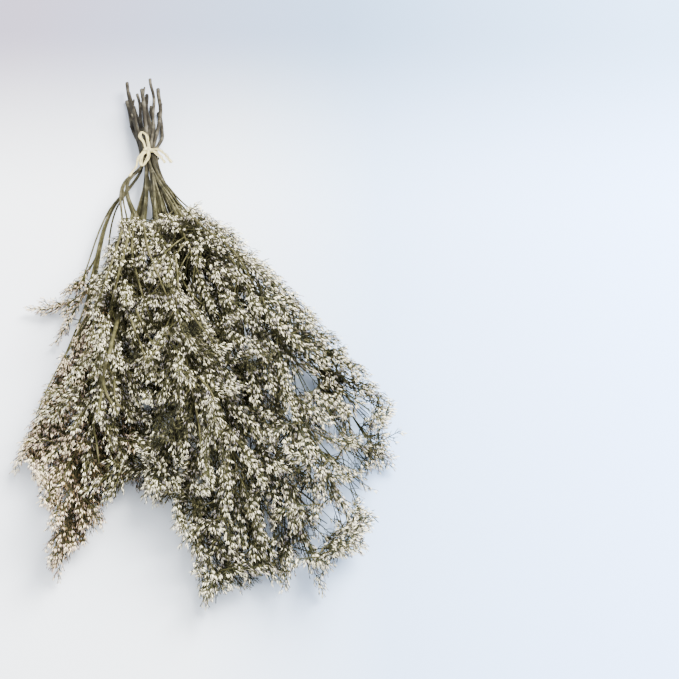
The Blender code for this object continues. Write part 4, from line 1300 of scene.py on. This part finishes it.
def side_stems(stem, path, rng):
    """Thin stems that leave a main stem ahead of the tie and run into its head, towards the
    middle of the bunch, as paths and radii."""
    run = run_from_tie(path)
    share = np.linspace(0.0, 1.0, SIDE_STEM_RINGS)
    inwards = across(stem.bearing) * np.sign(BUNDLE_BEARING - stem.bearing)
    made = []
    for _ in range(SIDE_STEMS):
        start = rng.uniform(*SIDE_STEM_START)
        end = stem.head + rng.uniform(*SIDE_STEM_INSIDE)
        aside = rng.uniform(*SIDE_STEM_ASIDE) * inwards + [0.0, 0.0, rng.uniform(*SIDE_STEM_RISE)]
        wanted = between(start, end, share)
        line = np.stack([np.interp(wanted, run, path[:, k]) for k in range(3)], axis=1)
        line = line + aside * share[:, None]**SIDE_STEM_BEND
        made.append((line, between(*SIDE_STEM_RADIUS, share)))
    return made


def weathered(path, rng):
    """A main stem's path and radii. Behind the tie it wanders aside as a sine of the way along
    it, and grows thicker or thinner, both from nothing at the tie."""
    run = run_from_tie(path)
    behind = np.clip(-run / WEATHERED_FROM, 0.0, 1.0)
    wave = np.sin(2 * np.pi * (run / rng.uniform(*WAVE_LENGTH) + rng.random())) * behind
    aside = across(BUNDLE_BEARING) * rng.uniform(*WANDER)
    radii = stem_radius(path) * between(1.0, rng.uniform(*THICKNESS), behind)
    return path + wave[:, None] * aside, radii


def shoots(path, rng):
    """The short side shoot near a main stem's cut end, if it has one, as a path and radii."""
    if rng.random() > SHOOT_SHARE:
        return []
    root = path[np.argmin(np.abs(run_from_tie(path) + rng.uniform(*SHOOT_FROM)))]
    lean = np.radians(rng.uniform(*SHOOT_LEAN) * rng.choice([-1, 1]))
    away = -np.cos(lean) * heading(BUNDLE_BEARING) + np.sin(lean) * across(BUNDLE_BEARING)
    share = np.linspace(0.0, 1.0, SIDE_STEM_RINGS)
    line = root + share[:, None] * (away + [0.0, 0.0, SHOOT_RISE]) * rng.uniform(*SHOOT_LENGTH)
    return [(line, between(*SHOOT_RADIUS, share))]


def stem_piece(number, kind, shapes, finish):
    """One of the pieces that stand in place of a flowering stem."""
    node = f"flowering_stem_{number:02d}"
    mesh_piece(f"{node}_{kind}", node, shapes, finish)


def wood_piece(number, stem, place, sprays, skin, finish, rng):
    """The main stem, round and faintly three-ridged, its thinner stems and branches, and the bare
    stalks of its sprays. Each has a strip of the map."""
    path, radii = weathered(smooth_path(stem_points(stem, place), MAIN_POINTS), rng)
    thinner = side_stems(stem, path, rng) + branches_above(number, skin) + shoots(path, rng)
    lines, thick = [np.stack(group) for group in zip(*thinner)]
    share = np.linspace(0.0, 1.0, STALK_RINGS)
    stalks = np.stack([spray_path(spray, share * (spray.bare + STALK_HIDDEN)) for spray in sprays])
    groups = ((path[None], tubes(path[None], radii[None], MAIN_SIDES, MAIN_RIDGES)),
              (lines, tubes(lines, thick, SIDE_STEM_SIDES)),
              (stalks, tubes(stalks, tapered(len(stalks), STALK_RINGS, STALK_RADII),
                             STALK_SIDES)))
    shapes = [(points, faces, strip_corners(spots, len(paths), part, len(groups)))
              for part, (paths, (points, faces, spots)) in enumerate(groups)]
    stem_piece(number, "wood", shapes, finish)


def twig_tints(places, thicket, rng):
    """Each twig's tint, darker the deeper it lies in the heads as painted shade."""
    depth = depth_at(places, thicket, rng)
    tint = between(rng.uniform(*TWIG_LIGHT, len(places)), TWIG_SHADE_TINT, depth)
    return np.clip(tint, 0.03, 0.97)


def low_twigs(sprays, skin, rng):
    """Bare twigs from the roots of sprays: each runs along below its spray and a little aside, and
    none comes out from under the florets. Lying deep in the heads, they take the dark tints of
    painted shade."""
    share = np.linspace(0.0, 1.0, LOW_RINGS)
    lines = np.stack([spray_path(spray, LOW_LENGTH * share)
                      for spray in sprays for _ in range(LOW_TWIGS)])
    lines[..., :2] += share[:, None] * rng.normal(0.0, LOW_ASIDE, (len(lines), 1, 2))
    lines[..., 2] *= between(1.0, LOW_HEIGHT, share)
    under = [skin.top(hidden_by(lines[:, k])) > lines[:, k, 2] + UNDER_FLORETS
             for k in range(LOW_RINGS // 2, LOW_RINGS)]
    return lines[np.all(under, axis=0)]


def twig_piece(number, sprays, twigs, thicket, skin, finish, rng):
    """The sprays' thin axes, the low twigs below them and their side twigs, all tapering."""
    share = np.linspace(0.0, 1.0, AXIS_RINGS)
    axes = np.stack([spray_path(spray, between(spray.bare, 1.0, share)) for spray in sprays])
    roots, elbows, tips = [values[:, None] for values in twigs[:3]]
    sides = parabola(roots, elbows, tips, np.linspace(0.0, 1.0, SIDE_RINGS)[:, None])
    shapes = []
    for lines, radii in ((axes, AXIS_RADIUS), (low_twigs(sprays, skin, rng), LOW_RADIUS),
                         (sides, SIDE_RADIUS)):
        count, rings = lines.shape[:2]
        points, faces, spots = tubes(lines, tapered(count, rings, radii), TWIG_CORNERS)
        tints = twig_tints(lines[:, rings // 2], thicket, rng)
        shapes.append((points, faces, palette_corners(spots, tints)))
    stem_piece(number, "twigs", shapes, finish)


def floret_piece(number, florets, thicket, finish, rng):
    """The florets of a stem, of which some of the deepest have fallen off."""
    left = rng.random(len(florets[0])) >= DROPPED * depth_at(florets[0], thicket, rng)
    feet, facing, order = [values[left] for values in florets]
    sizes = rng.uniform(*FLORET_LENGTH, len(feet)) * (1 - SHORTER_AT_TIP * order)
    tints = floret_tints(feet, order, thicket, rng)
    stem_piece(number, "florets", [floret_shape(feet, facing, sizes, tints, rng)], finish)


def flowering_stems():
    """Every flowering stem, in three pieces. All the florets are placed before any piece is
    made, because how dark a floret or twig is depends on those all round it."""
    wood, twig = wood_finish(), twig_finish()
    warm = floret_finish("warm_florets", WARM_RIMS)
    greenish = floret_finish("greenish_florets", GREENISH_RIMS)
    paths, sprays = grow()
    heads = [own + more for own, more in zip(sprays, extra_sprays(paths, sprays))]
    rngs = [np.random.default_rng(100 + k) for k in range(len(STEMS))]
    fine = [fine_growth(head, rng) for head, rng in zip(heads, rngs)]
    feet = np.concatenate([florets[0] for _, florets in fine])
    thicket, skin = Thicket(feet), Skin(feet)
    places = bundle_places()
    for k, (stem, head, (twigs, florets), rng) in enumerate(zip(STEMS, heads, fine, rngs)):
        number = k + 1
        wood_piece(number, stem, places[k], head, skin, wood, rng)
        twig_piece(number, head, twigs, thicket, skin, twig, rng)
        floret_piece(number, florets, thicket, warm if number in WARM_STEMS else greenish, rng)


def strip_section(width):
    """A flat strip's outline, seen along it: a slim oval, cupped by the square of the share of
    its half width."""
    angle = np.arange(STRIP_SIDES) * 2 * np.pi / STRIP_SIDES
    x, y = np.cos(angle), np.sin(angle)
    return x * width / 2, y * RAFFIA_THICKNESS / 2 + CUPPED * width * x**2


def strip(path, width, side, lift):
    """A closed strip along a path: each point of a ring is the path's point plus the outline's x
    along the side direction and its y along the lift."""
    x, y = strip_section(width)
    rings = path[:, None] + x[:, None] * side + y[:, None] * lift
    points = np.concatenate([rings.reshape(-1, 3), path[:1], path[-1:]])
    return (points,) + tube_pattern(len(path), STRIP_SIDES)


def raffia_strip(path, width):
    """A closed strip along a path, with its flat side up."""
    _, side, lift = frames(path)
    points, *triangles = strip(path, width, side[:, None], lift[:, None])
    return (points,) + turned_round(*triangles)


def loose_fibre(path, width, number):
    """A thin fibre that has come loose from a strip: it swings from edge to edge and over it, as
    the sine of its way along."""
    swings, more, start = FIBRE_SWINGS
    share = np.linspace(0.0, 1.0, len(path))
    swing = np.sin(2 * np.pi * (share * (swings + more * number) + start * number))[:, None]
    aside = frames(path)[1] * swing * width * FIBRE_ASIDE
    line = path + aside + [0.0, 0.0, FIBRE_ABOVE * RAFFIA_THICKNESS]
    return tubes(line[None], np.full((1, len(path)), FIBRE_RADIUS), FIBRE_SIDES)


def raffia_band():
    """The strip round the stems at the tie: a circle's directions, each pushed out to the
    outermost stem there."""
    places = np.array(bundle_places())
    angle = np.linspace(0.0, 2 * np.pi, BAND_RINGS)
    out = np.stack([np.cos(angle), np.sin(angle)], axis=1)
    outermost = places[np.argmax(out @ places.T, axis=1)]
    flat = outermost + out * (TIE_RADIUS + RAFFIA_GAP + RAFFIA_THICKNESS / 2)
    plane = np.stack([across(BUNDLE_BEARING), [0.0, 0.0, 1.0]])
    return strip(flat @ plane, BAND_WIDTH, heading(BUNDLE_BEARING), (out @ plane)[:, None])


def knot():
    """The knot: a squashed ball with folds that run slantwise over it. A ring's radius is the
    sine of its angle from the end, plus the folds' height times the sine of the angle round,
    taken as often as there are folds."""
    polar = np.linspace(KNOT_POLE, np.pi - KNOT_POLE, KNOT_RINGS)[:, None]
    turn = np.arange(KNOT_SIDES) * 2 * np.pi / KNOT_SIDES
    fold = 1 + FOLD_HEIGHT * np.sin(FOLDS * turn + FOLD_SLANT * polar)
    ball = np.stack([np.cos(polar) * np.ones_like(turn), np.sin(polar) * np.cos(turn) * fold,
                     np.sin(polar) * np.sin(turn) * fold], -1) * KNOT_SIZE
    points = np.concatenate([ball.reshape(-1, 3), [[KNOT_SIZE[0], 0, 0], [-KNOT_SIZE[0], 0, 0]]])
    points += [0.0, 0.0, KNOT_HEIGHT]
    return (points,) + turned_round(*tube_pattern(KNOT_RINGS, KNOT_SIDES))


def raffia_piece(finish):
    """The tie: a band, the strands and a knot, each with a strip of the map."""
    parts = [raffia_band()]
    for strand in STRANDS:
        path = smooth_path(strand.points, STRIP_POINTS) + [0.0, 0.0, KNOT_HEIGHT]
        parts.append(raffia_strip(path, STRIP_SHARE * strand.width))
        parts += [loose_fibre(path, strand.width, k) for k in range(LOOSE_FIBRES)]
    parts.append(knot())
    shapes = [(points, faces, strip_corners(spots, 1, part, len(parts)))
              for part, (points, faces, spots) in enumerate(parts)]
    mesh_piece("raffia_bow", "raffia_tie", shapes, finish)


def pale_floor(finish):
    """A broad flat surface under the bunch, with a point at each corner."""
    half = FLOOR_HALF
    mesh = bpy.data.meshes.new("floor")
    mesh.from_pydata([(-half, -half, 0), (half, -half, 0), (half, half, 0), (-half, half, 0)], [],
                     [(0, 1, 2, 3)])
    mesh.materials.append(finish)
    floor = bpy.data.objects.new("floor", mesh)
    bpy.context.scene.collection.objects.link(floor)


def aimed(thing, place, target):
    """Puts a light or the camera at a place, turned to look at the target."""
    thing.location = place
    away = np.array(target) - np.array(place)
    level = np.hypot(away[0], away[1])
    thing.rotation_euler = (np.pi / 2 + np.arctan2(away[2], level), 0.0,
                            np.arctan2(away[1], away[0]) - np.pi / 2)
    bpy.context.scene.collection.objects.link(thing)


def daylight():
    """Soft daylight: a broad window at the upper right and an even pale sky."""
    window = bpy.data.lights.new("window", "AREA")
    window.shape = "DISK"
    window.size = LIGHT_SIZE
    window.energy = LIGHT_POWER
    window.color = LIGHT_COLOUR
    aimed(bpy.data.objects.new("window", window), LIGHT_PLACE, LOOK_AT)
    world = bpy.data.worlds.new("sky")
    world.use_nodes = True
    sky = world.node_tree.nodes["Background"]
    sky.inputs["Color"].default_value = SKY_COLOUR
    sky.inputs["Strength"].default_value = SKY_STRENGTH
    bpy.context.scene.world = world


def camera():
    """The camera at the photograph's angle."""
    lens = bpy.data.cameras.new("camera")
    lens.angle = np.radians(FIELD_OF_VIEW)
    eye = bpy.data.objects.new("camera", lens)
    angle = np.radians(ELEVATION)
    back = np.array([0.0, -np.cos(angle), np.sin(angle)]) * DISTANCE
    aimed(eye, np.array(LOOK_AT) + back, LOOK_AT)
    bpy.context.scene.camera = eye


def main():
    """The whole scene."""
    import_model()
    flowering_stems()
    raffia_piece(raffia_finish())
    pale_floor(floor_finish())
    daylight()
    camera()


main()
